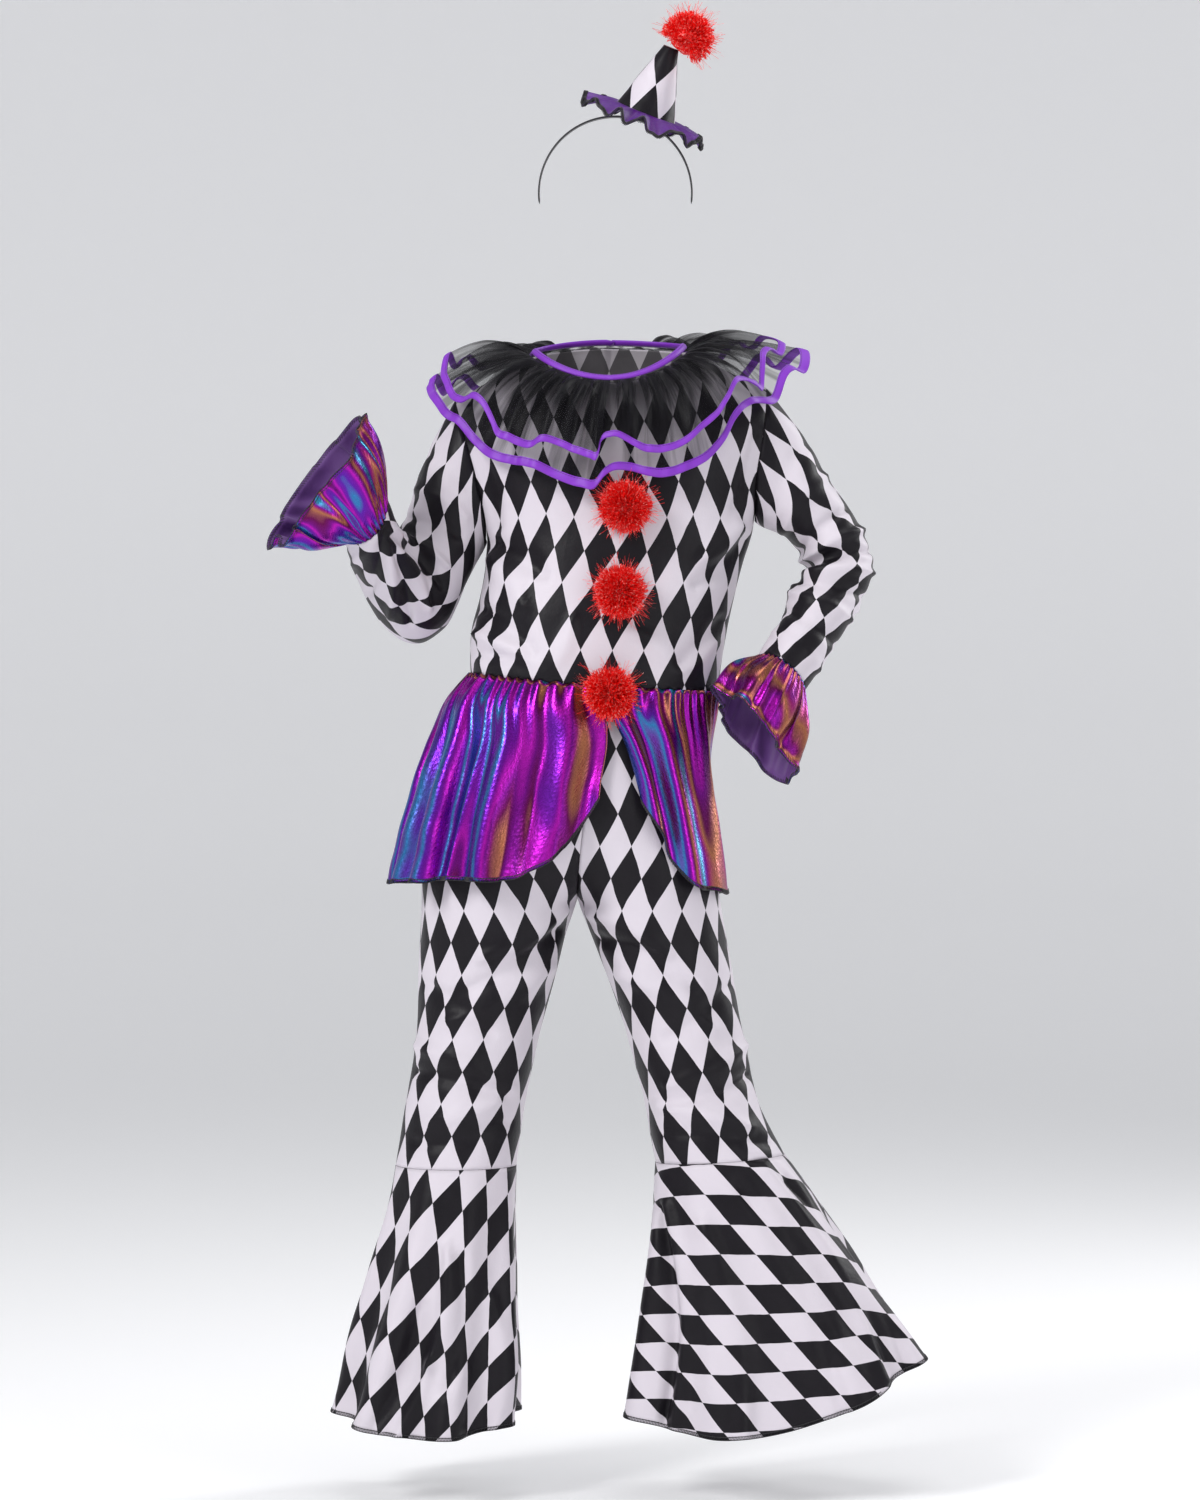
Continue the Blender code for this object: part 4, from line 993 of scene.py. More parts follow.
def iridescent(name):
    """Foiled cloth with painted iridescent sheen and shade: its colour follows the way it faces, in streaks:
    purple, blue, cyan, gold, wine.
    """
    n = Nodes(name)
    # Painted sheen: the colour follows the surface's facing (its normal), standing in for light playing on the
    # foil.
    facing = n.add("ShaderNodeSeparateXYZ")
    n.link(n.add("ShaderNodeTexCoord").outputs["Normal"], facing.inputs[0])
    lean = n.math("MULTIPLY", facing.outputs[0], 0.36)
    painted_sheen_tilt = n.math("MULTIPLY", facing.outputs[2], 0.35)
    streaks = n.noise(n.stretched(17, 1.4), 1.0, 0.5, 0.4)
    drift = n.noise(n.stretched(7, 4), 1.0, 1.0, 0.5)
    wander = n.math("ADD", n.math("MULTIPLY", streaks, 1.0), n.math("MULTIPLY", drift, 0.5))
    place = n.math("ADD", n.math("ADD", lean, painted_sheen_tilt), n.math("SUBTRACT", wander, 0.27))
    # Painted sheen and shade: the bright magenta and gold stops act as painted highlights, and the dark wine stop
    # as painted shade.
    colour = n.ramp(place, (
        (0.04, (0.03, 0.06, 0.34)),
        (0.15, (0.14, 0.006, 0.30)),
        (0.25, (0.03, 0.18, 0.42)),
        (0.33, (0.10, 0.012, 0.34)),
        (0.43, (0.17, 0.005, 0.32)),
        (0.51, (0.44, 0.008, 0.42)),
        (0.58, (0.17, 0.003, 0.22)),
        (0.65, (0.12, 0.003, 0.07)),
        (0.74, (0.42, 0.15, 0.07)),
        (0.82, (0.34, 0.02, 0.16)),
        (0.88, (0.16, 0.006, 0.34)),
        (0.97, (0.03, 0.26, 0.42)),
    ))
    n.put(n.shader, Base_Color=colour)
    n.shader.inputs["Metallic"].default_value = 0.82
    spots = n.noise(n.stretched(420, 260), 1.0, 3.0, 0.65)
    gloss = n.ramp(spots, ((0.35, (0.2,) * 3), (0.65, (0.38,) * 3)))
    n.link(gloss, n.shader.inputs["Roughness"])
    crush = n.add("ShaderNodeTexVoronoi")
    n.put(crush, Vector=n.stretched(420, 300), Scale=1.0)
    fine = n.bump(crush.outputs["Distance"], 0.0004, 0.4)
    tall = n.bump(n.noise(n.stretched(60, 9), 1.0, 2.0), 0.002, 0.45, fine)
    n.link(tall, n.shader.inputs["Normal"])
    return n.material


def plain_cloth(name, colour, roughness, across=500, along=500, lift=0.0003, change=0.25, sheen=0.1):
    """A plain woven or knitted cloth with a fine grain."""
    n = Nodes(name)
    tone = n.noise(n.stretched(30, 30), 1.0, 3.0)
    dark = tuple(c * (1 - change) for c in colour)
    light = tuple(min(1.0, c * (1 + change)) for c in colour)
    n.put(n.shader, Base_Color=n.mix(tone, dark, light))
    n.shader.inputs["Roughness"].default_value = roughness
    n.shader.inputs["Sheen Weight"].default_value = sheen
    grain = n.noise(n.stretched(across, along), 1.0, 2.0)
    n.link(n.bump(grain, lift, 0.6), n.shader.inputs["Normal"])
    return n.material


def organza(name):
    """Sheer crisp black cloth, darker where it is gathered in at the neck."""
    n = Nodes(name)
    grain = n.noise(n.stretched(700, 60), 1.0, 2.0)
    n.put(n.shader, Base_Color=n.mix(grain, (0.002, 0.002, 0.003), (0.011, 0.010, 0.013)))
    n.shader.inputs["Roughness"].default_value = 0.4
    n.shader.inputs["Specular IOR Level"].default_value = 0.12
    parts = n.add("ShaderNodeSeparateXYZ")
    n.link(n.cloth(), parts.inputs[0])
    near_neck = n.math("SUBTRACT", 1.0, n.math("DIVIDE", parts.outputs[1], RUFF_SHEER))
    near_neck = n.math("MAXIMUM", near_neck, 0.0)
    gathers = n.noise(n.stretched(52, 3), 1.0, 4.0, 0.6)
    bunched = n.ramp(gathers, ((0.47, (0.0,) * 3), (0.60, (1.0,) * 3)))
    dense = n.math("MULTIPLY", near_neck, n.math("ADD", 0.26, n.math("MULTIPLY", bunched, 0.8)))
    cover = n.math("ADD", n.math("MULTIPLY", bunched, 0.26), n.math("ADD", dense, 0.13))
    see_through = n.math("SUBTRACT", 1.0, n.math("MINIMUM", cover, 0.96))
    n.link(n.math("SUBTRACT", 1.0, n.math("POWER", see_through, 2.0)), n.shader.inputs["Alpha"])
    n.link(n.bump(grain, 0.0003, 0.5), n.shader.inputs["Normal"])
    return n.material


def bound_tape(name, colour, stitch_at):
    """Ribbed tape with a line of stitches along it, at a distance from its first edge."""
    n = Nodes(name)
    parts = n.add("ShaderNodeSeparateXYZ")
    n.link(n.cloth(), parts.inputs[0])
    off = n.math("ABSOLUTE", n.math("SUBTRACT", parts.outputs[1], stitch_at * MM))
    on_line = n.math("LESS_THAN", off, 0.33 * MM)
    step = n.math("FRACT", n.math("DIVIDE", parts.outputs[0], 2.8 * MM))
    stitch = n.math("MULTIPLY", on_line, n.math("LESS_THAN", step, 0.72))
    tone = n.noise(n.stretched(60, 60), 1.0, 3.0)
    cloth = n.mix(tone, tuple(c * 0.86 for c in colour), tuple(c * 1.12 for c in colour))
    n.put(n.shader, Base_Color=n.mix(stitch, cloth, tuple(c * 0.32 for c in colour)))
    n.shader.inputs["Roughness"].default_value = 0.5
    n.shader.inputs["Sheen Weight"].default_value = 0.08
    ribs = n.noise(n.stretched(1400, 260), 1.0, 2.0)
    groove = n.math("MULTIPLY", n.math("LESS_THAN", off, 0.6 * MM), -1.0)
    n.link(n.bump(groove, 0.0003, 0.7, n.bump(ribs, 0.0002, 0.5)), n.shader.inputs["Normal"])
    return n.material


def tinsel(name):
    """Red foil strands, a few of them pale where they catch the light."""
    n = Nodes(name)
    tone = n.noise(n.add("ShaderNodeTexCoord").outputs["Object"], 420.0, 2.0)
    colour = n.ramp(tone, (
        (0.28, (0.62, 0.001, 0.001)),
        (0.42, (0.92, 0.006, 0.005)),
        (0.58, (1.0, 0.016, 0.010)),
        (0.64, (1.0, 0.45, 0.40)),
    ))
    n.put(n.shader, Base_Color=colour)
    n.shader.inputs["Metallic"].default_value = 0.15
    n.shader.inputs["Roughness"].default_value = 0.34
    return n.material


# Cloth pieces


def cloth_uv(grid, closed=False, middle=True):
    """Flat coordinates of a grid: length across it and length along it."""
    whole = np.concatenate([grid, grid[:1]]) if closed else grid
    across = arc_lengths(whole, 0)
    if middle:
        across = across - across[-1:] / 2
    along = arc_lengths(whole, 1)
    return np.stack([across, along], axis=-1)


def make_bodice(look):
    for face, word in ((-1, "front"), (1, "back")):
        grid, share = bodice_grid(face, 112, 104)
        inside = (0, 0, -180)
        normals = facing_out(grid, normals_of(grid, False), inside)
        lift = creased(grid, normals, BODICE_CREASES, 1.3) + waver(grid, 46, 1.6, face)
        edge = np.minimum(1, np.minimum(np.arange(len(grid)), len(grid) - 1 - np.arange(len(grid))) / 8)
        top = np.minimum(1, (grid.shape[1] - 1 - np.arange(grid.shape[1])) / 6)
        bottom = np.minimum(1, np.arange(grid.shape[1]) / 8)
        lift = lift * edge[:, None] * top * bottom + OUT_OF_SOLID
        middle = grid.shape[0] // 2
        across = arc_lengths(grid, 0)
        across = across - across[middle:middle + 1]
        uv = np.stack([across, np.broadcast_to(grid[middle:middle + 1, :, 2], across.shape)], axis=-1)
        uv[..., 1] = grid[..., 2] * 0.6 + 0.4 * uv[..., 1]
        piece = add_shell(f"bodice_{word}_cloth", grid + normals * lift[..., None], False, uv, look)
        settle(piece, f"bodice_{word}")


def make_sleeve(side, word, look):
    turn = np.arange(96) * TAU / 96
    steps = np.linspace(0, 11, 124)
    grid = sleeve_grid(side, turn, steps)
    centre = grid.mean(axis=0)
    normals = normals_of(grid, True)
    if np.sum(normals * (grid - centre[None])) < 0:
        normals = -normals
    ends = np.clip(np.minimum(steps / 0.6, (11 - steps) / 0.5), 0, 1)
    lift = creased(grid, normals, SLEEVE_CREASES[side], 0.72) + waver(grid, 30, 1.5, side + 5)
    lift = lift * ends[None, :] + OUT_OF_SOLID
    uv = cloth_uv(grid, True)
    uv[..., 1] = -np.median(uv[..., 1], axis=0)[None, :] * 0.5 - uv[..., 1] * 0.5
    grid = grid + normals * lift[..., None]
    grid[:, 0] += unit(grid[:, 0] - grid[:, 1]) * ARMHOLE_TUCK - normals[:, 0] * 0.5
    piece = add_shell(f"sleeve_{word}_cloth", grid, True, uv, look)
    settle(piece, f"sleeve_{word}")


def make_cuff(side, word, looks, thread):
    count = 240
    turn = np.arange(count) * TAU / count
    down = np.linspace(0, 1, 34)
    grid = cuff_grid(side, turn, down)
    centre = grid.mean(axis=0)
    normals = normals_of(grid, True)
    if np.sum(normals * (grid - centre[None])) < 0:
        normals = -normals
    gathers = 1.3 * np.sin(turn * 31 + 0.8 * np.sin(turn * 7))[:, None] * np.exp(-down * 4)[None, :]
    ripples = 1.6 * np.sin(turn * 15 + 1.1 * np.sin(turn * 5))[:, None] * np.sin(down * 2.2)[None, :]
    waves = CUFF_WAVE * np.sin(turn * 5 + 0.9 * np.sin(turn * 2) + side)[:, None] * down[None, :] ** 1.4
    belly = CUFF_BELLY * np.sin(down * math.pi)[None, :]
    roll = CUFF_ROLL * np.exp(-(((1 - down) / 0.07) ** 2))[None, :]
    lift = gathers + ripples + waves + belly + roll + waver(grid, 22, 2.0, side + 2) * down[None, :]
    grid = grid + normals * lift[..., None]
    piece = add_shell(f"cuff_flounce_{word}_cloth", grid, True, cloth_uv(grid, True), looks)
    edge = overlock(f"cuff_{word}_edge", grid, normals, True, 3.2, 2.9, 0.34, thread)
    settle(piece, f"cuff_flounce_{word}")


def make_ruffs(look, tape_look):
    lower_lift = 2 * SEAM_GAP + ORGANZA + 0.5
    lifts = {"lower": (LOWER_RUFF, 104.0, 0.0, lower_lift),
             "upper": (UPPER_RUFF, 82.0, RUFF_PUFF, lower_lift + 2 * SEAM_GAP + ORGANZA + 0.6)}
    count = 520
    turn = (np.arange(count) + 0.5) * TAU / count
    for word, (rows, length, puff, lift) in lifts.items():
        reach = np.linspace(0, 1, 26)
        grid = ruff_grid(rows, turn, reach, lift, puff)
        normals = facing_out(grid, normals_of(grid, True), (0, 0, -150))
        shift = 2.0 if word == "upper" else 0.0
        pleats = np.sin(turn * 43 + 1.3 * np.sin(turn * 11 + shift) + shift)[:, None]
        broad = np.sin(turn * 17 + 1.6 * np.sin(turn * 4 + shift) + shift)[:, None]
        near = np.minimum(1, reach * 5) * (1 - 0.75 * reach)
        middle = np.sin(reach * math.pi) ** 0.8
        shape = 2.6 * pleats * near[None, :] + 3.2 * broad * middle[None, :]
        grid = grid + normals * (shape + waver(grid, 16, 1.2, len(word)) * near[None, :])[..., None]
        hem = arc_lengths(np.concatenate([grid, grid[:1]])[:, -1:], 0)
        uv = stack(hem, np.median(arc_lengths(grid, 1), axis=0)[None, :])
        sheer = add_shell(f"ruff_{word}_cloth", grid, True, uv, [look], 0)
        settle(sheer, f"ruff_{word}")
        first = int(round((1 - TAPE_WIDTH / length) * 25))
        share = np.linspace(reach[first], 1, 6)
        band = smooth(reach, grid.transpose(1, 0, 2), share).transpose(1, 0, 2)
        normals = facing_out(band, normals_of(band, True), (0, 0, -150))
        round_over = np.sin(np.linspace(0.12, 0.88, 6) * math.pi) * 0.5 + 0.35
        tape = add_tape(f"ruff_{word}_tape", band, normals, round_over, tape_look)
        settle(tape, f"ruff_{word}_binding")


def add_tape(name, band, normals, rounding, look):
    """Binding folded over an edge: a flat tube round the edge's strip."""
    top = band + normals * rounding[None, :, None]
    under = band - normals * (rounding[None, :, None] + 0.3)
    loop = np.concatenate([top, under[:, ::-1], top[:, :1]], axis=1)
    uv = cloth_uv(loop, True)
    return add_shell(name, loop, True, uv, [look], 0)


def make_neck_tape(look):
    count = 260
    turn = (np.arange(count) + 0.5) * TAU / count
    edge = neck_loop(turn)
    out = neck_normal(edge)
    ahead = unit(np.roll(edge, -1, axis=0) - np.roll(edge, 1, axis=0))
    up = unit(np.cross(ahead, out))
    up = np.where(up[:, 2:] < 0, -up, up)
    foot = edge + out * 2.4 + up * (SEAM_GAP + 2.6)
    angle = np.linspace(0, TAU, 17)
    wide = np.cos(angle)[None, :, None] * out[:, None] * 1.9
    tall = (3.2 + np.sin(angle) * 3.4)[None, :, None] * up[:, None]
    loop = foot[:, None] + wide + tall
    piece = add_shell("neck_tape", loop, True, cloth_uv(loop, True), [look], 0)
    settle(piece, "neck_binding")


def make_peplum(looks, thread):
    down = np.linspace(0, 1, 44)
    columns = 440
    grid = peplum_grid(columns, down)
    inside = (-20, 0, -400)
    normals = facing_out(grid, normals_of(grid, False), inside)
    share = np.linspace(0, 1, columns + 1)
    gathers = np.sin(share * TAU * 55 + 1.2 * np.sin(share * TAU * 9))[:, None] * np.exp(-down * 7)[None, :]
    ripples = np.sin(share * TAU * 16 + 1.7 * np.sin(share * TAU * 4))[:, None]
    ripples = ripples * (0.35 + 0.65 * np.sin(share * TAU * 4.3 + 1)[:, None] ** 2) * np.sin(down * 2.4)[None, :]
    lift = 2.0 * gathers + 8.6 * ripples + waver(grid, 34, 2.6, 3) * down[None, :] + 1.2
    grid = grid + normals * lift[..., None]
    grid[..., 2] -= 3.4 * ripples * down[None, :] ** 3
    width = arc_lengths(grid[:, -1:], 0)[-1, 0]
    along = np.median(arc_lengths(grid, 1), axis=0)
    uv = stack(share[:, None] * width, along[None, :])
    piece = add_shell("peplum_cloth", grid, False, uv, looks, 0.5)
    edge = overlock("peplum_edge", grid, normals, False, 3.6, 3.0, 0.36, thread)
    settle(piece, "peplum")


def make_leg(side, word, look):
    for face, name in ((-1, "front"), (1, "back")):
        share = np.linspace(0, 1, 62)[:, None]
        foot = LEGS[side]["z"][0] + SEAM_GAP / 2
        z = np.broadcast_to(np.linspace(-327, foot, 124)[None, :], (62, 124))
        grid, blend = leg_point(side, face, np.broadcast_to(share, z.shape), z)
        if side == LEFT:
            slope = np.clip((-725 - z) / 44, 0, 1)
            grid[..., 2] += slope * (grid[..., 0] - 111) * 0.064
        normals = facing_out(grid, normals_of(grid, False), (side * 90, 0, -600))
        ends = np.clip((z - foot) / 14, 0, 1) * np.clip((share - 0) / 0.1, 0, 1) * np.clip((1 - share) / 0.06, 0, 1)
        lift = creased(grid, normals, LEG_CREASES[side]) + waver(grid, 40, 1.8, side + face)
        lift = lift * ends * np.clip((-500 - z) / 30, 0, 1) + 0.1
        grid[0, :, 0] += side * SEAM_GAP / 2
        across = arc_lengths(grid, 0)
        across = across - across[LEG_GRAIN:LEG_GRAIN + 1]
        uv = stack(across * side, z)
        piece = add_shell(f"leg_{word}_{name}_cloth", grid + normals * lift[..., None], False, uv, look)
        settle(piece, f"leg_{word}_{name}")


def make_flounce(side, word, looks, thread):
    count = 288
    turn = np.arange(count) * TAU / count
    down = np.linspace(0, 1, 52)
    grid = flounce_grid(side, turn, down)
    grid[:, 0, 2] -= SEAM_GAP / 2
    normals = facing_out(grid, normals_of(grid, True), grid.reshape(-1, 3).mean(axis=0))
    lift = waver(grid, 60, 3.0, side) * down[None, :] + FOLD_MORE * flounce_folds(side, turn, down) + 0.3
    lift = lift + creased(grid, normals, FLOUNCE_CREASES[side])
    grid = grid + normals * lift[..., None]
    whole = np.concatenate([grid, grid[:1]])
    top = arc_lengths(whole[:, :1], 0)[:, 0]
    hem = arc_lengths(whole[:, -1:], 0)[:, 0]
    slant = np.median(arc_lengths(whole, 1)[:, -1])
    spread = (hem[-1] - top[-1]) / slant
    radius = top[-1] / spread
    half = count // 2
    edge = overlock(f"flounce_{word}_edge", grid, normals, True, 3.2, 3.0, 0.36, thread)
    for face, name in ((-1, "front"), (1, "back")):
        first = 0 if face < 0 else half
        pick = np.arange(first, first + half + 1)
        panel = whole[pick].copy()
        around = (top[pick] / top[-1]) * 0.5 + (hem[pick] / hem[-1]) * 0.5
        angle = (around - around[half // 2]) * spread
        reach = radius + slant * down[None, :]
        flat_x, flat_y = side * reach * np.sin(angle)[:, None], -reach * np.cos(angle)[:, None]
        lean = math.radians(FLOUNCE_TURN[side, name])
        uv = np.stack([flat_x * math.cos(lean) + flat_y * math.sin(lean),
                       flat_y * math.cos(lean) - flat_x * math.sin(lean)], axis=-1)
        panel[0, :, 1] += face * SEAM_GAP / 2
        panel[-1, :, 1] += face * SEAM_GAP / 2
        piece = add_shell(f"flounce_{word}_{name}_cloth", panel, False, uv, looks)
        settle(piece, f"flounce_{word}_{name}")


def make_waistband(look):
    """Casing gathered over elastic, hidden under the peplum."""
    share = np.sin(np.linspace(-1, 1, 141) * math.pi / 2)
    front, back = waistband_edge(share[:-1], -1), waistband_edge(share[:0:-1], 1)
    ring = np.concatenate([front, back])
    level = unit((ring - np.array([-10, 0, 0])) * (1, 1, 0))
    gather = np.sin(np.arange(len(ring)) * TAU * 46 / len(ring))
    rows = np.linspace(0, 1, 16)
    bulge = np.sin(rows * math.pi) ** 0.5 - 1.2 + 0.5 * gather[:, None] * np.sin(rows * math.pi)
    grid = ring[:, None] - np.array([0, 0, 1.0]) * (WAISTBAND_HEIGHT - 0.6) * (1 - rows)[None, :, None]
    grid = grid + level[:, None] * bulge[..., None]
    piece = add_shell("waistband_casing", grid, True, cloth_uv(grid, True), [look], 1.6)
    settle(piece, "waistband")


def tube(name, lines, radius, look, sides=4):
    """Threads: thin tubes along lines of points, in one mesh."""
    points, faces = [], []
    for line in lines:
        ahead = unit(np.gradient(line, axis=0))
        steady = np.array([0.31, 0.22, 0.92])
        one = unit(np.cross(ahead, steady))
        two = np.cross(ahead, one)
        first = len(points)
        for p, a, b in zip(line, one, two):
            for k in range(sides):
                angle = k * TAU / sides
                points.append(p + radius * (math.cos(angle) * a + math.sin(angle) * b))
        for i in range(len(line) - 1):
            for k in range(sides):
                here, there = first + i * sides, first + (i + 1) * sides
                faces.append((here + k, here + (k + 1) % sides, there + (k + 1) % sides, there + k))
        faces.append(tuple(first + k for k in range(sides))[::-1])
        faces.append(tuple(first + (len(line) - 1) * sides + k for k in range(sides)))
    mesh = bpy.data.meshes.new(name)
    mesh.from_pydata((np.array(points) * MM).tolist(), [], faces)
    mesh.shade_smooth()
    mesh.materials.append(look)
    piece = bpy.data.objects.new(name, mesh)
    bpy.context.scene.collection.objects.link(piece)
    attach(piece, "root")
    return piece


def overlock(name, grid, normals, closed, width, pitch, radius, look):
    """Overlock stitching round a hem: thread that zigzags between the edge and the cloth."""
    edge = np.concatenate([grid[:, -1], grid[:1, -1]]) if closed else grid[:, -1]
    last = np.concatenate([grid[:, -4], grid[:1, -4]]) if closed else grid[:, -4]
    out = np.concatenate([normals[:, -1], normals[:1, -1]]) if closed else normals[:, -1]
    length = arc_lengths(edge[:, None], 0)[-1, 0]
    count = int(length / pitch) * 2 + 1
    along = arc_lengths(edge[:, None], 0)[:, 0]
    places = np.linspace(0, length, count)

    def at(values):
        return np.stack([np.interp(places, along, values[:, k]) for k in range(3)], axis=1)

    low, high, lean = at(edge), at(last), unit(at(out))
    up = unit(high - low)
    zig = np.where(np.arange(count)[:, None] % 2 == 0, -0.4, width)
    front = low + up * zig + lean * 0.35
    back = low + up * zig - lean * (SHELL + 0.35)
    lines = [front, back]
    for share in (0.0, 0.95):
        lines.append(low + up * (width * share - 0.3) + lean * 0.3)
    return tube(name, lines, radius, look)


# Pom-poms


def make_pompom(name, centre, facing, look, seed, count=3000):
    """A round dense tuft of foil strands over its backing, with longer wisps among them."""
    chance = np.random.default_rng(seed)
    facing = unit(np.array(facing, float))
    points, faces = [], []
    for row in range(13):
        tip, round_by = math.cos(row * math.pi / 12), math.sin(row * math.pi / 12)
        for k in range(24):
            angle = k * TAU / 24
            place = np.array([round_by * math.cos(angle), round_by * math.sin(angle), tip]) * POMPOM_REACH * CORE
            points.append(place - facing * min(0.0, place @ facing + POMPOM_FLAT))
    for row in range(12):
        faces += [(24 * row + k, 24 * row + 24 + k, 24 * row + 24 + (k + 1) % 24, 24 * row + (k + 1) % 24)
                  for k in range(24)]
    for strand in range(count):
        way = unit(chance.normal(size=3))
        if way @ facing < -0.5:
            way = way - 2 * (way @ facing) * facing
        wisp = strand % 9 == 0
        reach = POMPOM_REACH * ((1.06 + 0.32 * chance.random()) if wisp else (0.76 + 0.24 * chance.random()))
        bend = np.cross(way, chance.normal(size=3)) * (0.30 if wisp else 0.16)
        width = 0.16 if wisp else 0.34 + 0.2 * chance.random()
        side = unit(np.cross(way, chance.normal(size=3)))
        twist = chance.random() * 3
        first = len(points)
        for k in range(4):
            t = k / 3
            middle = way * (10 + (reach - 10) * t) + bend * reach * t * t * 0.6
            sunk = middle @ facing + POMPOM_FLAT
            if sunk < 0:
                middle = middle - facing * sunk
            turned = side * math.cos(twist * t) + np.cross(way, side) * math.sin(twist * t)
            points += [middle + turned * width, middle - turned * width]
        faces += [(first + 2 * k, first + 2 * k + 1, first + 2 * k + 3, first + 2 * k + 2) for k in range(3)]
    mesh = bpy.data.meshes.new(name)
    mesh.from_pydata(((np.array(points) + np.array(centre)) * MM).tolist(), [], faces)
    mesh.materials.append(look)
    piece = bpy.data.objects.new(name, mesh)
    bpy.context.scene.collection.objects.link(piece)
    return piece


def make_pompoms(look):
    for seed, (word, centre) in enumerate(POMPOMS.items()):
        tuft = make_pompom(f"pompom_{word}_tinsel", centre, (0, -1, 0), look, seed)
        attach(tuft, "root")
        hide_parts(f"pompom_{word}")
    right, _, up = hat_axes()
    tuft = make_pompom("hat_pompom_tinsel", HAT_POMPOM, up + 0.35 * right, look, 9)
    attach(tuft, "root")
    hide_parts("hat_pompom")


# Hat


def make_hat(looks):
    turn = np.arange(96) * TAU / 96
    heights = np.linspace(BASE_THICK + SEAM_GAP, CONE_CUT, 36)
    dent = 1 + 0.012 * np.sin(turn * 3 + 1)[:, None] * np.ones((1, 36))
    grid = hat_ring(turn[:, None], cone_radius(heights)[None, :] * dent, heights[None, :])
    normals = facing_out(grid, normals_of(grid, True), hat_ring(turn[:1], 0.0, 20.0)[0])
    grid = grid + normals * (waver(grid, 14, 0.7, 4) + 0.2)[..., None]
    slant = np.hypot(CONE_RADIUS, CONE_HEIGHT)
    sector = (np.append(turn, TAU) - math.pi) * CONE_RADIUS / slant
    reach = (BASE_THICK + CONE_HEIGHT - heights) * slant / CONE_HEIGHT
    uv = stack(np.sin(sector)[:, None] * reach, -np.cos(sector)[:, None] * reach)
    uv = uv + (DIAMOND_WIDTH / 2, DIAMOND_HEIGHT / 2)
    piece = add_shell("hat_cone_cloth", np.roll(grid, -48, axis=0), True, uv, [looks["knit"]])
    settle(piece, "hat_cone")

    count = 420
    turn = np.arange(count) * TAU / count
    reach = np.linspace(0, 1, 18)[None, :]
    wave = fold_wave(turn / TAU, BRIM_FOLDS, 0.6)[:, None] * BRIM_FOLD * reach
    small = 1.5 * np.sin(turn * 27 + np.sin(turn * 5))[:, None] * reach**2 + 0.9 * wave
    start = cone_radius(BRIM_HEIGHT) + 2 * SEAM_GAP
    radius = start + (BRIM_RADIUS - start) * reach + 0 * wave
    grid = hat_ring(turn[:, None], radius, BRIM_HEIGHT - BRIM_DROOP * reach**1.5 + wave + small)
    brim = add_shell("hat_brim_cloth", grid, True, cloth_uv(grid, True), [looks["brim"]], 0.5)
    normals = facing_out(grid, normals_of(grid, True), hat_ring(turn[:1], 0.0, -200.0)[0])
    stitches = overlock("hat_brim_edge", grid, normals, True, 3.2, 1.2, 0.6, looks["black_thread"])
    settle(brim, "hat_brim")

    make_hat_base(looks["felt"])
    make_headband(looks["satin"])


def make_hat_base(look):
    turn = np.arange(96) * TAU / 96
    radius = np.array([4.0, 29.5, 30.6, 31.0, 30.6, 29.5, 4.0, 4.0])
    height = np.array([BASE_THICK, BASE_THICK, BASE_THICK * 0.85, BASE_THICK / 2, 0.4, 0, 0, BASE_THICK])
    grid = hat_ring(turn[:, None], np.broadcast_to(radius, (96, 8)), height[None, :])
    piece = add_shell("hat_base_felt", grid, True, cloth_uv(grid, True), [look], 0)
    settle(piece, "hat_base")


def make_headband(look):
    """A flat band with rounded edges, bent over the head."""
    angle = np.radians(np.linspace(-BAND_END, BAND_END, 120))
    turn = np.linspace(0, TAU, 21)
    across = np.sign(np.cos(turn)) * np.abs(np.cos(turn)) ** 0.5 * BAND_WIDTH / 2
    thick = np.sign(np.sin(turn)) * np.abs(np.sin(turn)) ** 0.7 * BAND_THICK / 2
    taper = np.clip((np.radians(BAND_END) - np.abs(angle)) * BAND_RADIUS / 4, 0.02, 1)[:, None] ** 0.5
    radius = BAND_RADIUS - BAND_THICK / 2 + thick[None, :] * taper
    x = HEAD[0] + radius * np.sin(angle)[:, None]
    z = HEAD[2] + radius * np.cos(angle)[:, None]
    grid = stack(x, HEAD[1] + across[None, :] * taper, z)
    piece = add_shell("headband_band", grid, False, cloth_uv(grid), [look], 0)
    settle(piece, "headband")


# Stage


FLOOR = -1095.0
CAMERA = (-4.85, -4200.0, -373.45)
VIEW_HEIGHT = 1455.0


def make_stage():
    """A round floor whose far edge curves up, wide enough to hold every camera."""
    profile = [(0, 0), (3000, 0), (5500, 0), (6500, 60), (7300, 300), (7900, 800), (8200, 1700), (8300, 3400)]
    count = 96
    mesh = bpy.data.meshes.new("backdrop")
    points = []
    for radius, z in profile[1:]:
        for k in range(count):
            angle = k * TAU / count
            points.append((radius * math.cos(angle) * MM, radius * math.sin(angle) * MM, (z + FLOOR) * MM))
    faces = [tuple(range(count))]
    for row in range(len(profile) - 2):
        first = row * count
        for k in range(count):
            ahead = (k + 1) % count
            faces.append((first + k, first + count + k, first + count + ahead, first + ahead))
    mesh.from_pydata(points, [], faces)
    mesh.shade_smooth()
    backdrop = bpy.data.objects.new("backdrop", mesh)
    bpy.context.scene.collection.objects.link(backdrop)
    paper = bpy.data.materials.new("paper")
    paper.use_nodes = True
    shader = paper.node_tree.nodes["Principled BSDF"]
    shader.inputs["Base Color"].default_value = (0.86, 0.86, 0.87, 1)
    shader.inputs["Roughness"].default_value = 0.9
    shader.inputs["Emission Color"].default_value = (0.97, 0.98, 1.0, 1)
    shader.inputs["Emission Strength"].default_value = 0.2
    mesh.materials.append(paper)


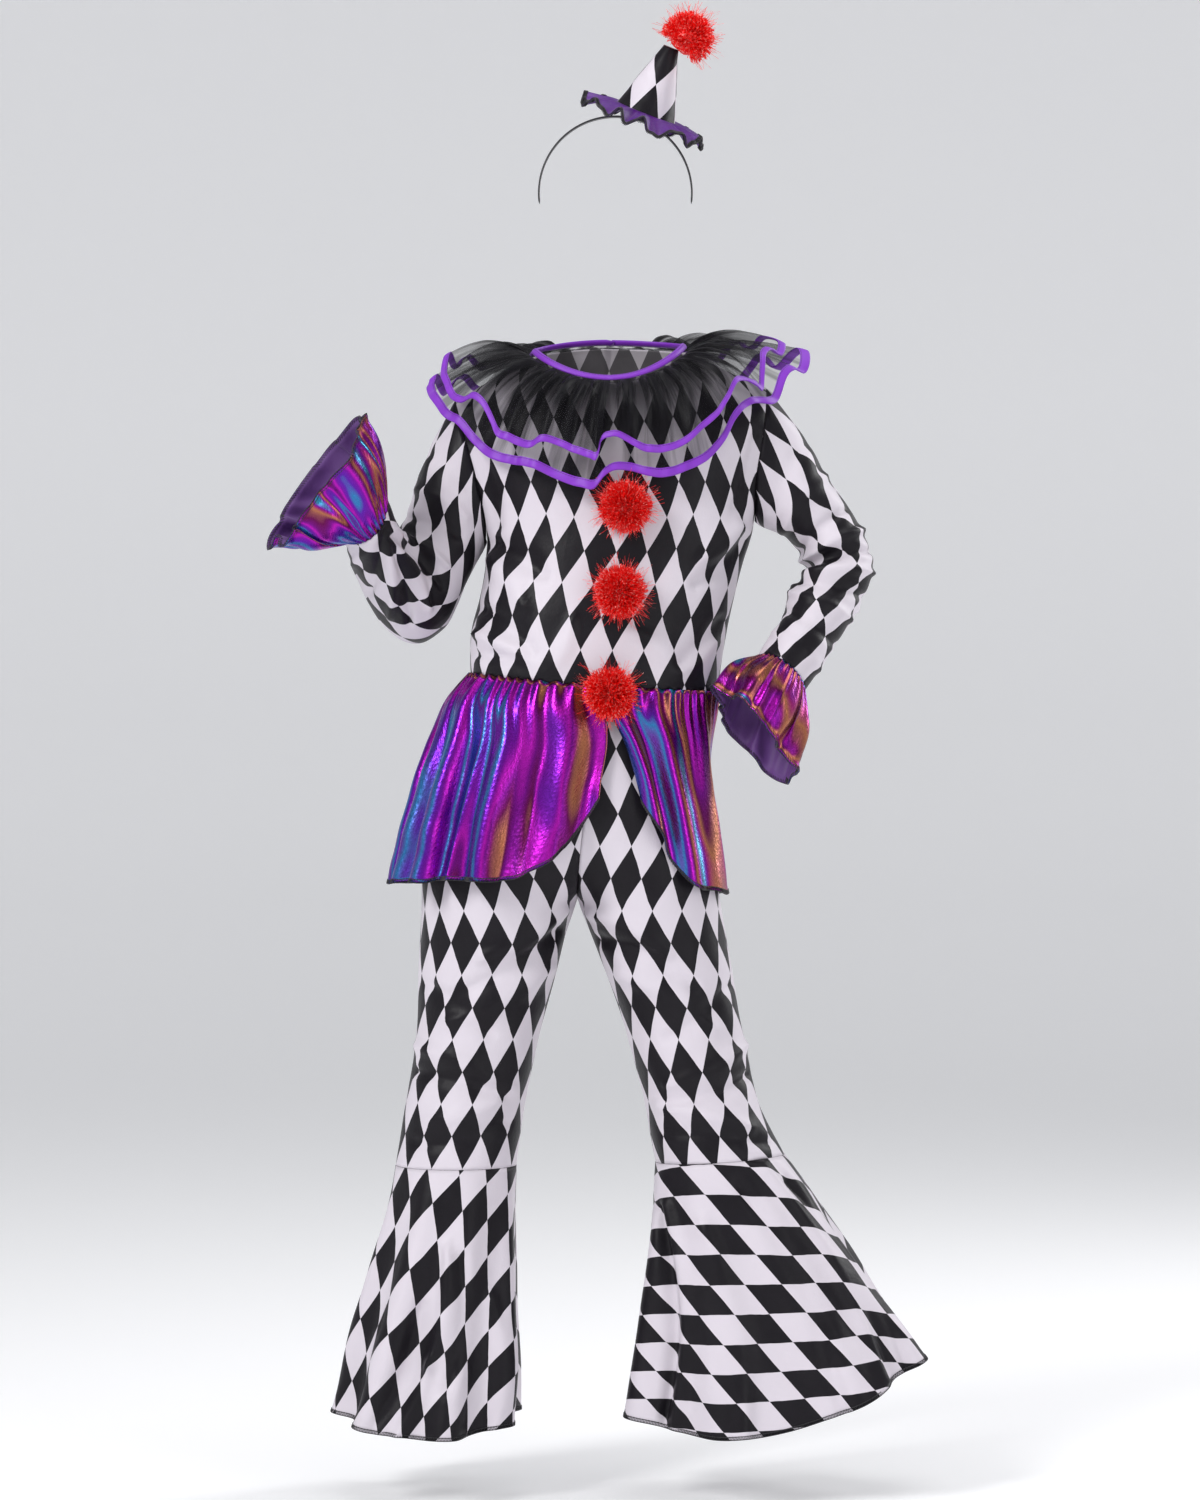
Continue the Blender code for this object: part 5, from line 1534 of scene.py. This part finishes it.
def add_light(name, place, aim, size, power):
    data = bpy.data.lights.new(name, "AREA")
    data.energy = power
    data.shape = "RECTANGLE"
    data.size, data.size_y = size
    light = bpy.data.objects.new(name, data)
    light.location = place
    light.rotation_euler = (Vector(aim) - Vector(place)).to_track_quat("-Z", "Y").to_euler()
    bpy.context.scene.collection.objects.link(light)


def make_lights_and_camera():
    aim = (0, 0, -0.35)
    add_light("key", (-2.3, -2.6, 1.7), aim, (1.0, 1.4), 92)
    add_light("fill", (2.6, -3.0, 0.3), aim, (1.6, 2.2), 24)
    add_light("top", (0.2, -0.4, 2.3), aim, (2.0, 1.6), 26)
    add_light("rim", (2.0, 1.2, 0.8), aim, (0.7, 2.0), 30)
    world = bpy.data.worlds.new("studio")
    world.use_nodes = True
    world.node_tree.nodes["Background"].inputs[0].default_value = (0.95, 0.96, 1.0, 1)
    world.node_tree.nodes["Background"].inputs[1].default_value = 0.32
    bpy.context.scene.world = world
    data = bpy.data.cameras.new("camera")
    data.lens = data.sensor_width * -CAMERA[1] / VIEW_HEIGHT
    camera = bpy.data.objects.new("camera", data)
    camera.location = tuple(c * MM for c in CAMERA)
    camera.rotation_euler = (math.pi / 2, 0, 0)
    bpy.context.scene.collection.objects.link(camera)
    bpy.context.scene.camera = camera
    bpy.context.scene.view_settings.view_transform = "Standard"


def main():
    knit = diamond_knit("diamond_knit")
    knit_inside = diamond_knit("diamond_knit_inside", inside=True)
    shine = iridescent("iridescent_cloth")
    shine_inside = plain_cloth("purple_inside", (0.115, 0.04, 0.2), 0.6)
    tape = bound_tape("purple_tape", (0.21, 0.022, 0.50), 1.3)
    sheer = organza("black_organza")
    foil = tinsel("red_tinsel")
    black_thread = plain_cloth("black_thread", (0.012, 0.011, 0.014), 0.6)
    felt = plain_cloth("black_felt", (0.014, 0.013, 0.015), 0.85)
    satin = plain_cloth("black_satin", (0.014, 0.013, 0.016), 0.3)
    brim = plain_cloth("brim_cloth", (0.075, 0.003, 0.19), 0.42, 600, 600, 0.0003, 0.5, 0.0)

    make_bodice([knit, knit_inside])
    for side, word in ((RIGHT, "right"), (LEFT, "left")):
        make_sleeve(side, word, [knit, knit_inside])
        make_cuff(side, word, [shine, shine_inside], black_thread)
        make_leg(side, word, [knit, knit_inside])
        make_flounce(side, word, [knit, knit_inside], black_thread)
    make_ruffs(sheer, tape)
    make_neck_tape(tape)
    make_peplum([shine, shine_inside], black_thread)
    make_waistband(felt)
    make_pompoms(foil)
    make_hat({"knit": knit, "brim": brim, "felt": felt, "satin": satin, "black_thread": black_thread})
    make_stage()
    make_lights_and_camera()


main()
